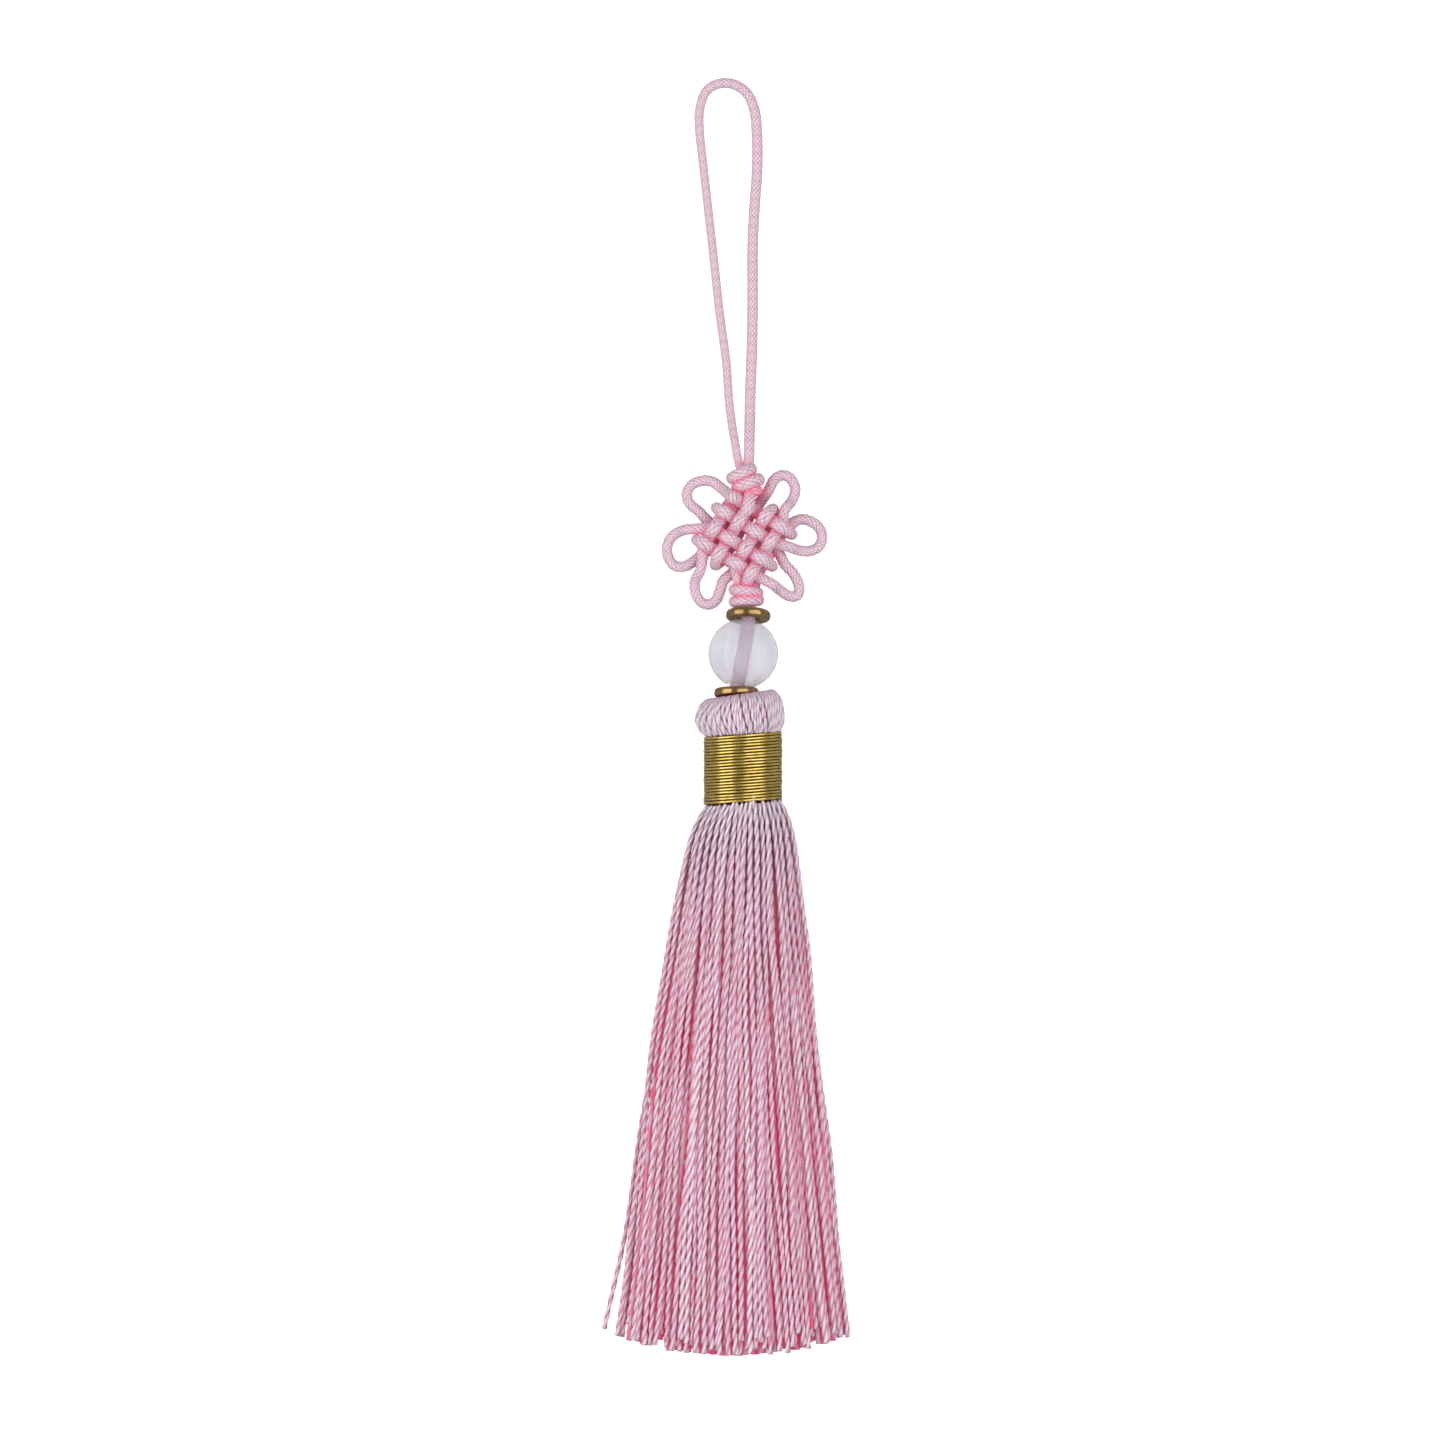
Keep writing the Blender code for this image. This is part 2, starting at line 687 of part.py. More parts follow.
def build_tassel(parts, cutters, floor, material):
    tassel = build_head(parts)
    boolean(tassel, build_skirt(cutters), "UNION")
    boolean(tassel, floor, "DIFFERENCE")
    paint(tassel, material)


def build_floor(cutters):
    bpy.ops.mesh.primitive_cube_add(size=1.0)
    floor = bpy.context.object
    floor.name = "floor_cutter"
    floor.data.transform(Matrix.Diagonal((FLOOR_SIZE, FLOOR_SIZE, FLOOR_DEPTH, 1.0)))
    floor.data.transform(Matrix.Translation((0.0, 0.0, -FLOOR_DEPTH / 2)))
    for holder in list(floor.users_collection):
        holder.objects.unlink(floor)
    cutters.objects.link(floor)
    return as_helper(floor)


def build():
    clear_scene()
    parts = new_collection(COLLECTION_NAME)
    cutters = new_collection(CUTTER_COLLECTION_NAME)
    materials = {name: make_material(name) for name in COLOURS}
    floor = build_floor(cutters)
    build_loop(parts, materials["pink_cord"])
    build_cord_knot(parts, cutters, materials["pink_cord"])
    build_ring("upper_ring", UPPER_RING_Y, 0.0, parts, materials["antique_gold"])
    build_bead(parts, floor, materials["milky_glass"])
    build_ring("lower_ring", LOWER_RING_Y, LOWER_RING_LEAN_DEG, parts, materials["antique_gold"])
    build_tassel(parts, cutters, floor, materials["lilac_thread"])
    build_binding(parts, materials["gold_thread"])


build()
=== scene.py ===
import math
import random

import bpy
import numpy as np
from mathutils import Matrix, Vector
from mathutils.kdtree import KDTree


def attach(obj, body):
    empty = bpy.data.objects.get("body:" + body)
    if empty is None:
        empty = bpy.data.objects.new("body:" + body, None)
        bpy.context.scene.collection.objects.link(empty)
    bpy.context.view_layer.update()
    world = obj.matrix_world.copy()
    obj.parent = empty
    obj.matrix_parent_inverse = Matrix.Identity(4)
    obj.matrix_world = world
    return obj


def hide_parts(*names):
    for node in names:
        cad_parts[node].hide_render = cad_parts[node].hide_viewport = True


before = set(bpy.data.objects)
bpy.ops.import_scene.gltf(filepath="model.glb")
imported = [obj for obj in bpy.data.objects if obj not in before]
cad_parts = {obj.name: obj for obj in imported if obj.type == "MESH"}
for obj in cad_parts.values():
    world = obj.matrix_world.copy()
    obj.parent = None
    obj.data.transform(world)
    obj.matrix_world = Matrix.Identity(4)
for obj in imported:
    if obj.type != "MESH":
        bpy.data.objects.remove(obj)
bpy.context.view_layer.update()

# Viewpoint: the tassel lies on its back and is seen from straight above, loop at the top.
# The picture is square, and its middle lies a little left of the bead and the head.
MM = 0.001
PICTURE_WIDTH = 146.1 * MM
PICTURE_MIDDLE = (-1.72 * MM, -0.76 * MM)
CAMERA_HEIGHT = 0.72
FOCUS_HEIGHT = 3.0 * MM
SENSOR_MM = 36.0

camera_data = bpy.data.cameras.new("viewpoint")
camera_data.sensor_width = SENSOR_MM
camera_data.lens = SENSOR_MM * (CAMERA_HEIGHT - FOCUS_HEIGHT) / PICTURE_WIDTH
camera_data.clip_start = 0.01
camera = bpy.data.objects.new("viewpoint", camera_data)
camera.location = (*PICTURE_MIDDLE, CAMERA_HEIGHT)
bpy.context.scene.collection.objects.link(camera)
bpy.context.scene.camera = camera

# Hanging loop: one limp braided silk cord, 1.05 mm thick. Both its ends come out of the
# upper button knot, and the loop lies slack on the surface.
CORD_D = 1.05 * MM
CORD_CARRIERS = 8
CORD_LAY = 4.0 * MM
CORD_RELIEF = 0.11 * MM
CORD_SIDES = 32
CORD_RING_STEP = 0.11 * MM
# How far from each end the loop is painted coral, and how strongly: painted shade where it goes into the
# knot.
LOOP_END_SHADE_LENGTH = 1.9 * MM
LOOP_END_SHADE = 0.8
LOOP_ENDS_IN_BUTTON_MM = ((0.22, 24.60, 2.75), (0.78, 24.60, 2.75))
LOOP_LEFT_WIDTH = 0.90
LOOP_RIGHT_WIDTH = 1.10
LOOP_ROUTE_MM = (
    (-0.14, 25.80, 2.25), (-0.40, 27.30, 1.95), (-0.78, 29.60, 1.05), (-1.08, 32.10, 0.58),
    (-1.36, 36.00, 0.54), (-2.02, 40.90, 0.54), (-2.63, 46.50, 0.54), (-3.14, 51.00, 0.54),
    (-3.57, 54.90, 0.54), (-3.99, 58.60, 0.54), (-4.08, 61.00, 0.54), (-3.62, 62.85, 0.54),
    (-2.75, 63.80, 0.54), (-1.40, 64.12, 0.54), (-0.10, 63.78, 0.54), (0.92, 62.85, 0.54),
    (1.56, 61.20, 0.54), (1.78, 58.90, 0.54), (1.80, 55.40, 0.54), (1.54, 51.60, 0.54),
    (1.34, 47.40, 0.54), (1.34, 41.90, 0.54), (1.26, 37.00, 0.54), (1.11, 32.80, 0.58),
    (1.06, 29.90, 1.05), (1.00, 27.40, 1.95), (0.95, 25.80, 2.25),
)


def smooth_route(points, step):
    """Points one step apart on a smooth curve through the given points."""
    points = np.asarray(points, float)
    padded = np.vstack([2 * points[0] - points[1], points, 2 * points[-1] - points[-2]])
    t = (np.arange(32) / 32)[:, None]
    runs = []
    for before, start, end, after in zip(padded, padded[1:], padded[2:], padded[3:]):
        runs.append(0.5 * (2 * start + (end - before) * t
                           + (2 * before - 5 * start + 4 * end - after) * t ** 2
                           + (3 * start - before - 3 * end + after) * t ** 3))
    fine = np.vstack([*runs, points[-1:]])
    reach = np.concatenate([[0], np.cumsum(np.linalg.norm(np.diff(fine, axis=0), axis=1))])
    wanted = np.linspace(0, reach[-1], max(2, round(reach[-1] / step)) + 1)
    return np.column_stack([np.interp(wanted, reach, fine[:, axis]) for axis in range(3)])


def along_route(route):
    """Distance from the start at each point."""
    return np.concatenate([[0], np.cumsum(np.linalg.norm(np.diff(route, axis=0), axis=1))])


def side_frames(route, first_side=(0.0, 0.0, 1.0)):
    """Two directions across the route at each point, carried along without twist."""
    heading = np.gradient(route, axis=0)
    heading /= np.linalg.norm(heading, axis=1)[:, None]
    side = np.asarray(first_side, float)
    sides = []
    for ahead in heading:
        side = side - ahead * side.dot(ahead)
        side = side / np.linalg.norm(side)
        sides.append(side)
    sides = np.array(sides)
    return sides, np.cross(heading, sides)


def tube_skin(route, radii, first_side=(0.0, 0.0, 1.0), twist=None, angles=None):
    """Points and faces of a closed tube; radii has a row a point and a column a side."""
    rings, sides = radii.shape
    across, up = side_frames(route, first_side)
    angle = (math.tau * np.arange(sides) / sides if angles is None else angles)[None, :]
    if twist is not None:
        angle = angle + twist[:, None]
    points = (route[:, None, :] + radii[:, :, None]
              * (np.cos(angle)[:, :, None] * across[:, None, :]
                 + np.sin(angle)[:, :, None] * up[:, None, :])).reshape(-1, 3)
    ring = np.arange(rings - 1)[:, None] * sides
    this = np.arange(sides)[None, :]
    following = (this + 1) % sides
    faces = np.stack([ring + this, ring + following, ring + sides + following,
                      ring + sides + this], axis=2).reshape(-1, 4).tolist()
    first_middle = len(points)
    points = np.vstack([points, route[:1], route[-1:]])
    last_ring = (rings - 1) * sides
    for side in range(sides):
        following_side = (side + 1) % sides
        faces.append([first_middle, following_side, side])
        faces.append([first_middle + 1, last_ring + side, last_ring + following_side])
    return points, faces


def make_piece(name, skins, marks):
    """One mesh from several skins. marks are named numbers, one for each point."""
    points = []
    faces = []
    count = 0
    for skin_points, skin_faces in skins:
        points.append(skin_points)
        faces += [[corner + count for corner in face] for face in skin_faces]
        count += len(skin_points)
    mesh = bpy.data.meshes.new(name)
    mesh.from_pydata(np.vstack(points).tolist(), [], faces)
    for mark, values in marks.items():
        layer = mesh.attributes.new(mark, "FLOAT", "POINT")
        layer.data.foreach_set("value", np.concatenate(values).astype(np.float32))
    mesh.shade_smooth()
    piece = bpy.data.objects.new(name, mesh)
    bpy.context.scene.collection.objects.link(piece)
    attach(piece, "root")
    return piece


def braid(route, diameter, carriers=CORD_CARRIERS, lay=CORD_LAY, relief=CORD_RELIEF,
          sides=CORD_SIDES):
    """A braided cord's skin, with how deep each point lies between the strands."""
    reach = along_route(route)[:, None]
    angle = (np.arange(sides) / sides)[None, :]
    left = carriers * (angle + reach / lay)
    right = carriers * (angle - reach / lay)
    left_on_top = (np.floor(left) + np.floor(right)) % 2 == 0
    across = np.where(left_on_top, left % 1, right % 1)
    along = np.where(left_on_top, right % 1, left % 1)
    height = np.sqrt(1 - (2 * across - 1) ** 2 * 0.96) * (0.45 + 0.55 * np.sin(math.pi * along))
    radii = np.reshape(diameter, (-1, 1)) / 2 - relief * (1 - height)
    points, faces = tube_skin(route, radii)
    depth = np.append((1 - height).ravel(), [1.0, 1.0])
    return (points, faces), depth


class Shade:
    """One socket of a material, with arithmetic that adds Math nodes."""

    def __init__(self, tree, socket):
        self.tree = tree
        self.socket = socket

    def node(self, kind, settings=None, values=None, out=0):
        made = self.tree.nodes.new(kind)
        for setting, value in (settings or {}).items():
            if setting == "stops":
                while len(made.color_ramp.elements) < len(value):
                    made.color_ramp.elements.new(0.5)
                for element, (place, colour) in zip(made.color_ramp.elements, value):
                    element.position = place
                    element.color = colour
            else:
                setattr(made, setting, value)
        for name, value in (values or {}).items():
            if isinstance(value, Shade):
                self.tree.links.new(value.socket, made.inputs[name])
            else:
                made.inputs[name].default_value = value
        return Shade(self.tree, made.outputs[out])

    def math(self, operation, *values, clamp=False):
        settings = {"operation": operation, "use_clamp": clamp}
        return self.node("ShaderNodeMath", settings, dict(enumerate(values)))

    def __add__(self, other):
        return self.math("ADD", self, other)

    def __radd__(self, other):
        return self.math("ADD", other, self)

    def __sub__(self, other):
        return self.math("SUBTRACT", self, other)

    def __rsub__(self, other):
        return self.math("SUBTRACT", other, self)

    def __mul__(self, other):
        return self.math("MULTIPLY", self, other)

    def __rmul__(self, other):
        return self.math("MULTIPLY", other, self)

    def __pow__(self, other):
        return self.math("POWER", self, other)

    def clamped(self):
        return self.math("ADD", self, 0.0, clamp=True)

    def blend(self, low, high):
        """The low colour where this is 0, and the high one where it is 1."""
        return self.node("ShaderNodeMix", {"data_type": "RGBA"}, {0: self, 6: low, 7: high}, 2)

    def mark(self, name):
        return self.node("ShaderNodeAttribute", {"attribute_name": name}, out=2)

    def noise(self, scale, detail=3.0, stretch=None):
        place = self.node("ShaderNodeTexCoord", out=3)
        if stretch:
            place = self.node("ShaderNodeMapping", None, {0: place, 3: stretch})
        return self.node("ShaderNodeTexNoise", None, {"Vector": place, "Scale": scale, "Detail": detail})


def new_finish(name, **constants):
    """A material's surface shader with its fixed values, and a start for its shading."""
    material = bpy.data.materials.new(name)
    material.use_nodes = True
    surface = material.node_tree.nodes["Principled BSDF"]
    for socket, value in constants.items():
        surface.inputs[socket.replace("_", " ").title().replace("Ior", "IOR")].default_value = value
    return material, surface, Shade(material.node_tree, None)


def use(surface, name, shade):
    shade.tree.links.new(shade.socket, surface.inputs[name])


def cord_finish():
    """Dusty pink braided silk, pale on the braid's crests with a painted highlight and darkened in its
    grooves as painted shade.

    Where other cord lies close, it is painted coral as painted shade, and a painted glow lights those
    places a little.
    """
    material, surface, start = new_finish("pink silk cord", roughness=0.45, sheen_weight=0.2,
                                          sheen_roughness=0.4, emission_strength=1.0)
    deep = start.mark("braid_depth")
    pressed = start.mark("pressed") ** 1.4
    mottle = start.noise(900.0)
    # The silk's pink, mottled at random, up to near white: partly a painted highlight on the crests.
    light = mottle.blend((0.86, 0.60, 0.74, 1.0), (1.0, 0.90, 0.96, 1.0))
    # Grooves between the braid's strands are darkened: painted shade.
    groove_shade = (deep * 1.5 + mottle * 0.3 - 0.35).clamped()
    braid_with_groove_shade = groove_shade.blend(light, (0.50, 0.17, 0.29, 1.0))
    # Coral where other cord lies close: painted shade between cords.
    crevice_shaded_pink = (pressed * (0.55 + groove_shade * 0.45)).blend(braid_with_groove_shade, (0.78, 0.10, 0.22, 1.0))
    use(surface, "Base Color", crevice_shaded_pink)
    # A painted glow in those close places, though the cord is no lamp.
    use(surface, "Emission Color", pressed.blend((0.0, 0.0, 0.0, 1.0), (0.17, 0.018, 0.045, 1.0)))
    fuzz = start.noise(9000.0, 2.0)
    bump = start.node("ShaderNodeBump", None, {"Strength": 0.35, "Distance": 0.02 * MM, "Height": fuzz})
    use(surface, "Normal", bump)
    return material


loop_rows = np.array((LOOP_ENDS_IN_BUTTON_MM[0], *LOOP_ROUTE_MM, LOOP_ENDS_IN_BUTTON_MM[1])) * MM
loop_route = smooth_route(loop_rows, CORD_RING_STEP)
loop_share = np.linspace(0, 1, len(loop_route))
loop_width = CORD_D * np.interp(loop_share, (0.40, 0.56), (LOOP_LEFT_WIDTH, LOOP_RIGHT_WIDTH))
loop_route[:, 2] = np.maximum(loop_route[:, 2], loop_width / 2)
loop_skin, loop_depth = braid(loop_route, loop_width)
# Painted shade at both ends of the loop, where it runs into the button knot.
near_end = np.clip(1 - along_route(loop_route) / LOOP_END_SHADE_LENGTH, 0, 1)
loop_end_shade = np.repeat(LOOP_END_SHADE * (near_end + near_end[::-1]), CORD_SIDES)
loop = make_piece("hanging_loop_cord", [loop_skin],
                  {"braid_depth": [loop_depth], "pressed": [np.append(loop_end_shade, [0, 0])]})
pink_silk = cord_finish()
loop.data.materials.append(pink_silk)
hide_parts("hanging_loop")
loop_path = [tuple(point) for point in smooth_route(loop_rows, 1.0 * MM)]

# Knotted cord: the same cord, doubled, makes a button knot, the endless knot and a second
# button knot. Four rows and four columns are each laid twice, on the front and the back,
# and six ears join them.
KNOT_CENTRE = np.array((0.28, 18.18)) * MM
KNOT_TURN = math.radians(-31.7)
LINE_PLACE_MM = (-2.78, -1.01, 1.01, 2.78)
KNOT_LOWEST_Z = 0.60 * MM
WEAVE_RISE = 1.15 * MM
TURN_REACH = 1.18 * MM
KNOT_CORD_D = 1.14 * MM
FRONT_TOP_LINE = (
    ("row", "column", "row", "column"),
    ("column", "row", "column", "row"),
    ("row", "column", "row", "column"),
    ("row", "column", "column", "row"),
)
EAR_MID_Z_MM = 1.75
EARS_MM = {
    "upper_right": ((2.15, 21.65), (2.95, 22.75), (3.50, 23.80), (4.30, 24.28), (5.10, 24.02),
                    (5.60, 23.20), (5.60, 22.35), (5.20, 21.50), (4.60, 20.75)),
    "right": ((5.95, 19.75), (7.15, 19.65), (8.10, 18.90), (8.38, 17.90), (7.95, 16.98),
              (7.00, 16.58), (5.90, 16.70), (4.85, 17.05)),
    "lower_right": ((4.55, 15.35), (5.40, 14.40), (5.92, 13.45), (6.05, 12.60), (5.75, 12.02),
                    (4.95, 12.08), (4.00, 12.70), (3.20, 13.30)),
    "upper_left": ((-0.70, 21.95), (-1.70, 22.85), (-2.75, 23.62), (-3.85, 23.72),
                   (-4.90, 23.25), (-5.35, 22.25), (-4.95, 21.30), (-4.00, 20.50)),
    "left": ((-5.00, 18.80), (-6.05, 18.58), (-6.95, 17.92), (-7.35, 16.85), (-7.12, 15.78),
             (-6.50, 15.08), (-5.55, 15.05), (-4.60, 15.60)),
    "lower_left": ((-3.90, 14.85), (-4.48, 13.60), (-4.48, 12.50), (-4.00, 11.55),
                   (-3.15, 11.18), (-2.35, 11.65), (-1.90, 12.80), (-1.50, 13.75)),
}
BACK_FACE_SHIFT = np.array((0.42, -0.34, 0.0)) * MM
WEAVE_DIP = 0.22 * MM
LEVEL_DIP = 0.62 * MM
WEAVE_SPREAD = 0.24
WEAVE_REACH_MM = 4.2
UPPER_BUTTON = np.array((0.56, 23.92, 2.22)) * MM
LOWER_BUTTON = np.array((0.70, 11.95, 2.22)) * MM
BUTTON_Z_MM = 2.22
BUTTON_TURNS_MM = (
    (0.22, 24.44, 0.95, 1.35, 25.0, 1.32),
    (0.87, 23.42, 1.05, 1.38, 21.0, 1.36),
    (1.42, 22.62, 0.44, 1.10, 10.0, 1.06),
    (0.66, 12.50, 1.18, 1.30, -8.0, 1.22),
    (0.71, 11.54, 1.22, 1.32, 4.0, 1.22),
)
# One button turn gets at least this much painted shade all over.
SHADED_BUTTON_TURN = 2
BUTTON_TURN_SHADE = 0.75
OWN_CORD_GAP = 2.2 * MM
# Distances from other cord at which painted shade is full and at which it starts.
CLOSE_SHADE_FULL = 0.52 * MM
CLOSE_SHADE_FROM = 1.16 * MM
TAIL_D = 1.5 * MM
TAIL_ROUTE_MM = (
    (0.72, 12.00, 2.22), (0.90, 10.40, 2.55), (0.72, 8.00, 3.10), (0.38, 6.20, 3.47),
    (0.02, 4.20, 3.80), (-0.32, 2.15, 4.05), (-0.36, 0.95, 4.15),
)


def knot_spot(row, column, kind, face):
    """Where a line of the knot crosses another, on the front face or on the back."""
    along = LINE_PLACE_MM[column] * MM
    across = LINE_PLACE_MM[row] * MM
    on_top = FRONT_TOP_LINE[row][column] == kind
    level = (3 if on_top else 2) if face == "front" else (0 if on_top else 1)
    shift = BACK_FACE_SHIFT if face == "back" else 0.0
    x = KNOT_CENTRE[0] + along * math.cos(KNOT_TURN) - across * math.sin(KNOT_TURN)
    y = KNOT_CENTRE[1] + along * math.sin(KNOT_TURN) + across * math.cos(KNOT_TURN)
    return shift + np.array((x, y, KNOT_LOWEST_Z + level * WEAVE_RISE))


def dipped(crossings, face):
    """The crossings with a point between each two, sunk a little towards the knot's inside."""
    inward = -1 if face == "front" else 1
    points = [crossings[0]]
    for before, after in zip(crossings, crossings[1:]):
        dip = LEVEL_DIP if abs(before[2] - after[2]) < 0.1 * MM else WEAVE_DIP
        points += [(before + after) / 2 + np.array((0.0, 0.0, inward * dip)), after]
    return points


def knot_line(kind, index, first_face):
    """A line of the knot: in on one face, round its turn, and out on the other face."""
    turns_high = index % 2 == 1 if kind == "row" else index % 2 == 0
    inward = list(range(4)) if turns_high else list(range(3, -1, -1))
    other_face = "back" if first_face == "front" else "front"

    def place(step, face):
        row, column = (index, step) if kind == "row" else (step, index)
        return knot_spot(row, column, kind, face)

    points = dipped([place(step, first_face) for step in inward], first_face)
    outward = points[-1] - points[-3]
    outward[2] = 0.0
    outward /= np.linalg.norm(outward)
    last = points[-1]
    back = place(inward[-1], other_face)
    for share in (0.2, 0.5, 0.8):
        reach = TURN_REACH * math.sin(math.pi * share) ** 0.6
        points.append(last + (back - last) * share + outward * reach)
    return points + dipped([place(step, other_face) for step in reversed(inward)], other_face)


def ear(name, start_z, end_z):
    flat = EARS_MM[name]
    points = []
    for index, (x_mm, y_mm) in enumerate(flat):
        share = index / (len(flat) - 1)
        ends = start_z + (end_z - start_z) * share
        free = math.sin(math.pi * share) ** 0.5
        points.append(np.array((x_mm * MM, y_mm * MM, ends + (EAR_MID_Z_MM * MM - ends) * free)))
    return points


def half_knot(start, lines, ears, first_face, end):
    """The route of one half of the doubled cord, from button knot to button knot."""
    points = [start]
    for order, (kind, index) in enumerate(lines):
        line = knot_line(kind, index, first_face)
        if order:
            points += ear(ears[order - 1], points[-1][2], line[0][2])
        points += line
    return points + [end]


def button_turn(x_mm, y_mm, across_mm, deep_mm, slope_deg, diameter_mm):
    """The middle line of one turn of cord round a button knot, its ends hidden below."""
    angles = np.radians(np.arange(-130.0, 311.0, 11.0))
    out = across_mm * np.cos(angles)
    rise = math.tan(math.radians(slope_deg)) * out
    return np.column_stack([x_mm - out, y_mm - rise, BUTTON_Z_MM + deep_mm * np.sin(angles)]) * MM


def pressed_flat(skin, route):
    """The cord's skin widened in level stretches of the weave, where cords press on it."""
    points, faces = skin
    heading = np.gradient(route, axis=0)
    heading /= np.linalg.norm(heading, axis=1)[:, None]
    level = np.hypot(heading[:, 0], heading[:, 1])
    across = np.column_stack([-heading[:, 1], heading[:, 0], np.zeros(len(route))])
    across /= np.maximum(level, 0.01)[:, None]
    place = (route[:, :2] - KNOT_CENTRE) / MM
    along = place @ (math.cos(KNOT_TURN), math.sin(KNOT_TURN))
    beside = place @ (-math.sin(KNOT_TURN), math.cos(KNOT_TURN))
    inside = np.clip(WEAVE_REACH_MM - np.maximum(abs(along), abs(beside)), 0, 1)
    spread = WEAVE_SPREAD * inside * level ** 2
    rings = points[:-2].reshape(len(route), -1, 3)
    offset = rings - route[:, None, :]
    sideways = (offset * across[:, None, :]).sum(axis=2) * spread[:, None]
    wider = rings + sideways[:, :, None] * across[:, None, :]
    wider[:, :, 2] -= offset[:, :, 2] * 0.4 * spread[:, None]
    return np.vstack([wider.reshape(-1, 3), points[-2:]]), faces


def close_cord_shade_marks(routes, skins, own_gap, near, far):
    """For each point, how closely another stretch of cord lies to it, from 0 to 1, for painted shade
    between cords.
    """
    stations = np.vstack(routes)
    owner = np.concatenate([np.full(len(route), index) for index, route in enumerate(routes)])
    place = np.concatenate([along_route(route) for route in routes])
    tree = KDTree(len(stations))
    for index, station in enumerate(stations):
        tree.insert(station, index)
    tree.balance()
    marks = []
    for route_index, (route, (points, _)) in enumerate(zip(routes, skins)):
        sides = (len(points) - 2) // len(route)
        reach = along_route(route)
        values = np.zeros(len(points))
        for index, point in enumerate(points[:-2]):
            here = reach[index // sides]
            gap = far
            for _, other, distance in tree.find_range(Vector(point), far):
                if owner[other] == route_index and abs(place[other] - here) < own_gap:
                    continue
                gap = min(gap, distance)
            values[index] = 1 - (gap - near) / (far - near)
        values[-2:] = 1.0
        marks.append(np.clip(values, 0, 1))
    return marks


button_side = np.array((0.55, 0.0, 0.0)) * MM
knot_rows = [
    half_knot(UPPER_BUTTON + button_side,
              (("column", 1), ("column", 3), ("row", 2), ("row", 0)),
              ("upper_right", "right", "lower_right"), "front", LOWER_BUTTON + button_side),
    half_knot(UPPER_BUTTON - button_side,
              (("row", 3), ("row", 1), ("column", 0), ("column", 2)),
              ("upper_left", "left", "lower_left"), "back", LOWER_BUTTON - button_side),
    np.array(TAIL_ROUTE_MM) * MM,
]
knot_diameters = [KNOT_CORD_D, KNOT_CORD_D, TAIL_D]
for turn_row in BUTTON_TURNS_MM:
    knot_rows.append(button_turn(*turn_row))
    knot_diameters.append(turn_row[-1] * MM)
knot_routes = [smooth_route(row, CORD_RING_STEP * 1.2) for row in knot_rows]
knot_skins = []
knot_depths = []
for route, diameter in zip(knot_routes, knot_diameters):
    skin, depth = braid(route, diameter, sides=28)
    knot_skins.append(pressed_flat(skin, route))
    knot_depths.append(depth)
# Painted shade between the knot's cords, from how close other cord lies; one button turn gets more.
knot_close_shade = close_cord_shade_marks(knot_routes, knot_skins, OWN_CORD_GAP, CLOSE_SHADE_FULL, CLOSE_SHADE_FROM)
shaded_turn_at = len(knot_close_shade) - len(BUTTON_TURNS_MM) + SHADED_BUTTON_TURN
knot_close_shade[shaded_turn_at] = np.maximum(knot_close_shade[shaded_turn_at], BUTTON_TURN_SHADE)
knot = make_piece("knotted_cord", knot_skins, {"braid_depth": knot_depths, "pressed": knot_close_shade})
knot.data.materials.append(pink_silk)
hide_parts("cord_knot")

# Metal rings: two small turned rings of antique gold, with a rounded rim, threaded on the
# cord above and below the bead.
RING_R = 2.26 * MM
BORE_R = 1.1 * MM
RING_HEIGHT = 1.0 * MM


def turned(profile, steps):
    """A closed profile of (radius, height) pairs turned about its own axis."""
    angle = (math.tau * np.arange(steps) / steps)[:, None]
    radius, height = np.array(profile).T
    points = np.stack([radius * np.cos(angle), radius * np.sin(angle),
                       np.broadcast_to(height, (steps, len(profile)))], axis=2).reshape(-1, 3)
    step = np.arange(steps)[:, None] * len(profile)
    following = (np.arange(steps)[:, None] + 1) % steps * len(profile)
    this = np.arange(len(profile))[None, :]
    nearby = (this + 1) % len(profile)
    faces = np.stack([step + this, step + nearby, following + nearby, following + this], axis=2)
    return points, faces.reshape(-1, 4).tolist()


def on_tail(skin, y, lean_deg=0.0):
    """The skin set on the cord's tail where it passes this y, square to the cord."""
    route = smooth_route(np.array(TAIL_ROUTE_MM) * MM, 0.05 * MM)
    nearest = int(np.argmin(abs(route[:, 1] - y)))
    heading = route[nearest + 1] - route[nearest - 1]
    heading /= np.linalg.norm(heading)
    side = np.cross(heading, (0.0, 0.0, 1.0))
    side /= np.linalg.norm(side)
    up = np.cross(side, heading)
    points, faces = skin
    lean = math.radians(lean_deg)
    turned_points = points @ np.array([side, up, heading])
    turn = np.array([[math.cos(lean), math.sin(lean), 0], [-math.sin(lean), math.cos(lean), 0],
                     [0, 0, 1]])
    return turned_points @ turn + route[nearest], faces


def ring_skin():
    middle = (RING_R + BORE_R) / 2
    half = (RING_R - BORE_R) / 2
    profile = []
    for index in range(28):
        angle = math.tau * index / 28
        cosine, sine = math.cos(angle), math.sin(angle)
        profile.append((middle + half * math.copysign(abs(cosine) ** 0.75, cosine),
                        RING_HEIGHT / 2 * math.copysign(abs(sine) ** 0.75, sine)))
    return turned(profile, 112)


def old_gold():
    """Antique gold with darker tarnish in patches."""
    material, surface, start = new_finish("antique gold", metallic=1.0)
    tarnish = start.noise(700.0, 4.0).clamped()
    use(surface, "Base Color", tarnish.blend((0.21, 0.11, 0.04, 1.0), (0.56, 0.39, 0.17, 1.0)))
    use(surface, "Roughness", 0.28 - tarnish * 0.18)
    pits = start.noise(2600.0, 3.0)
    use(surface, "Normal", start.node("ShaderNodeBump", None,
                                      {"Strength": 0.25, "Distance": 0.03 * MM, "Height": pits}))
    return material


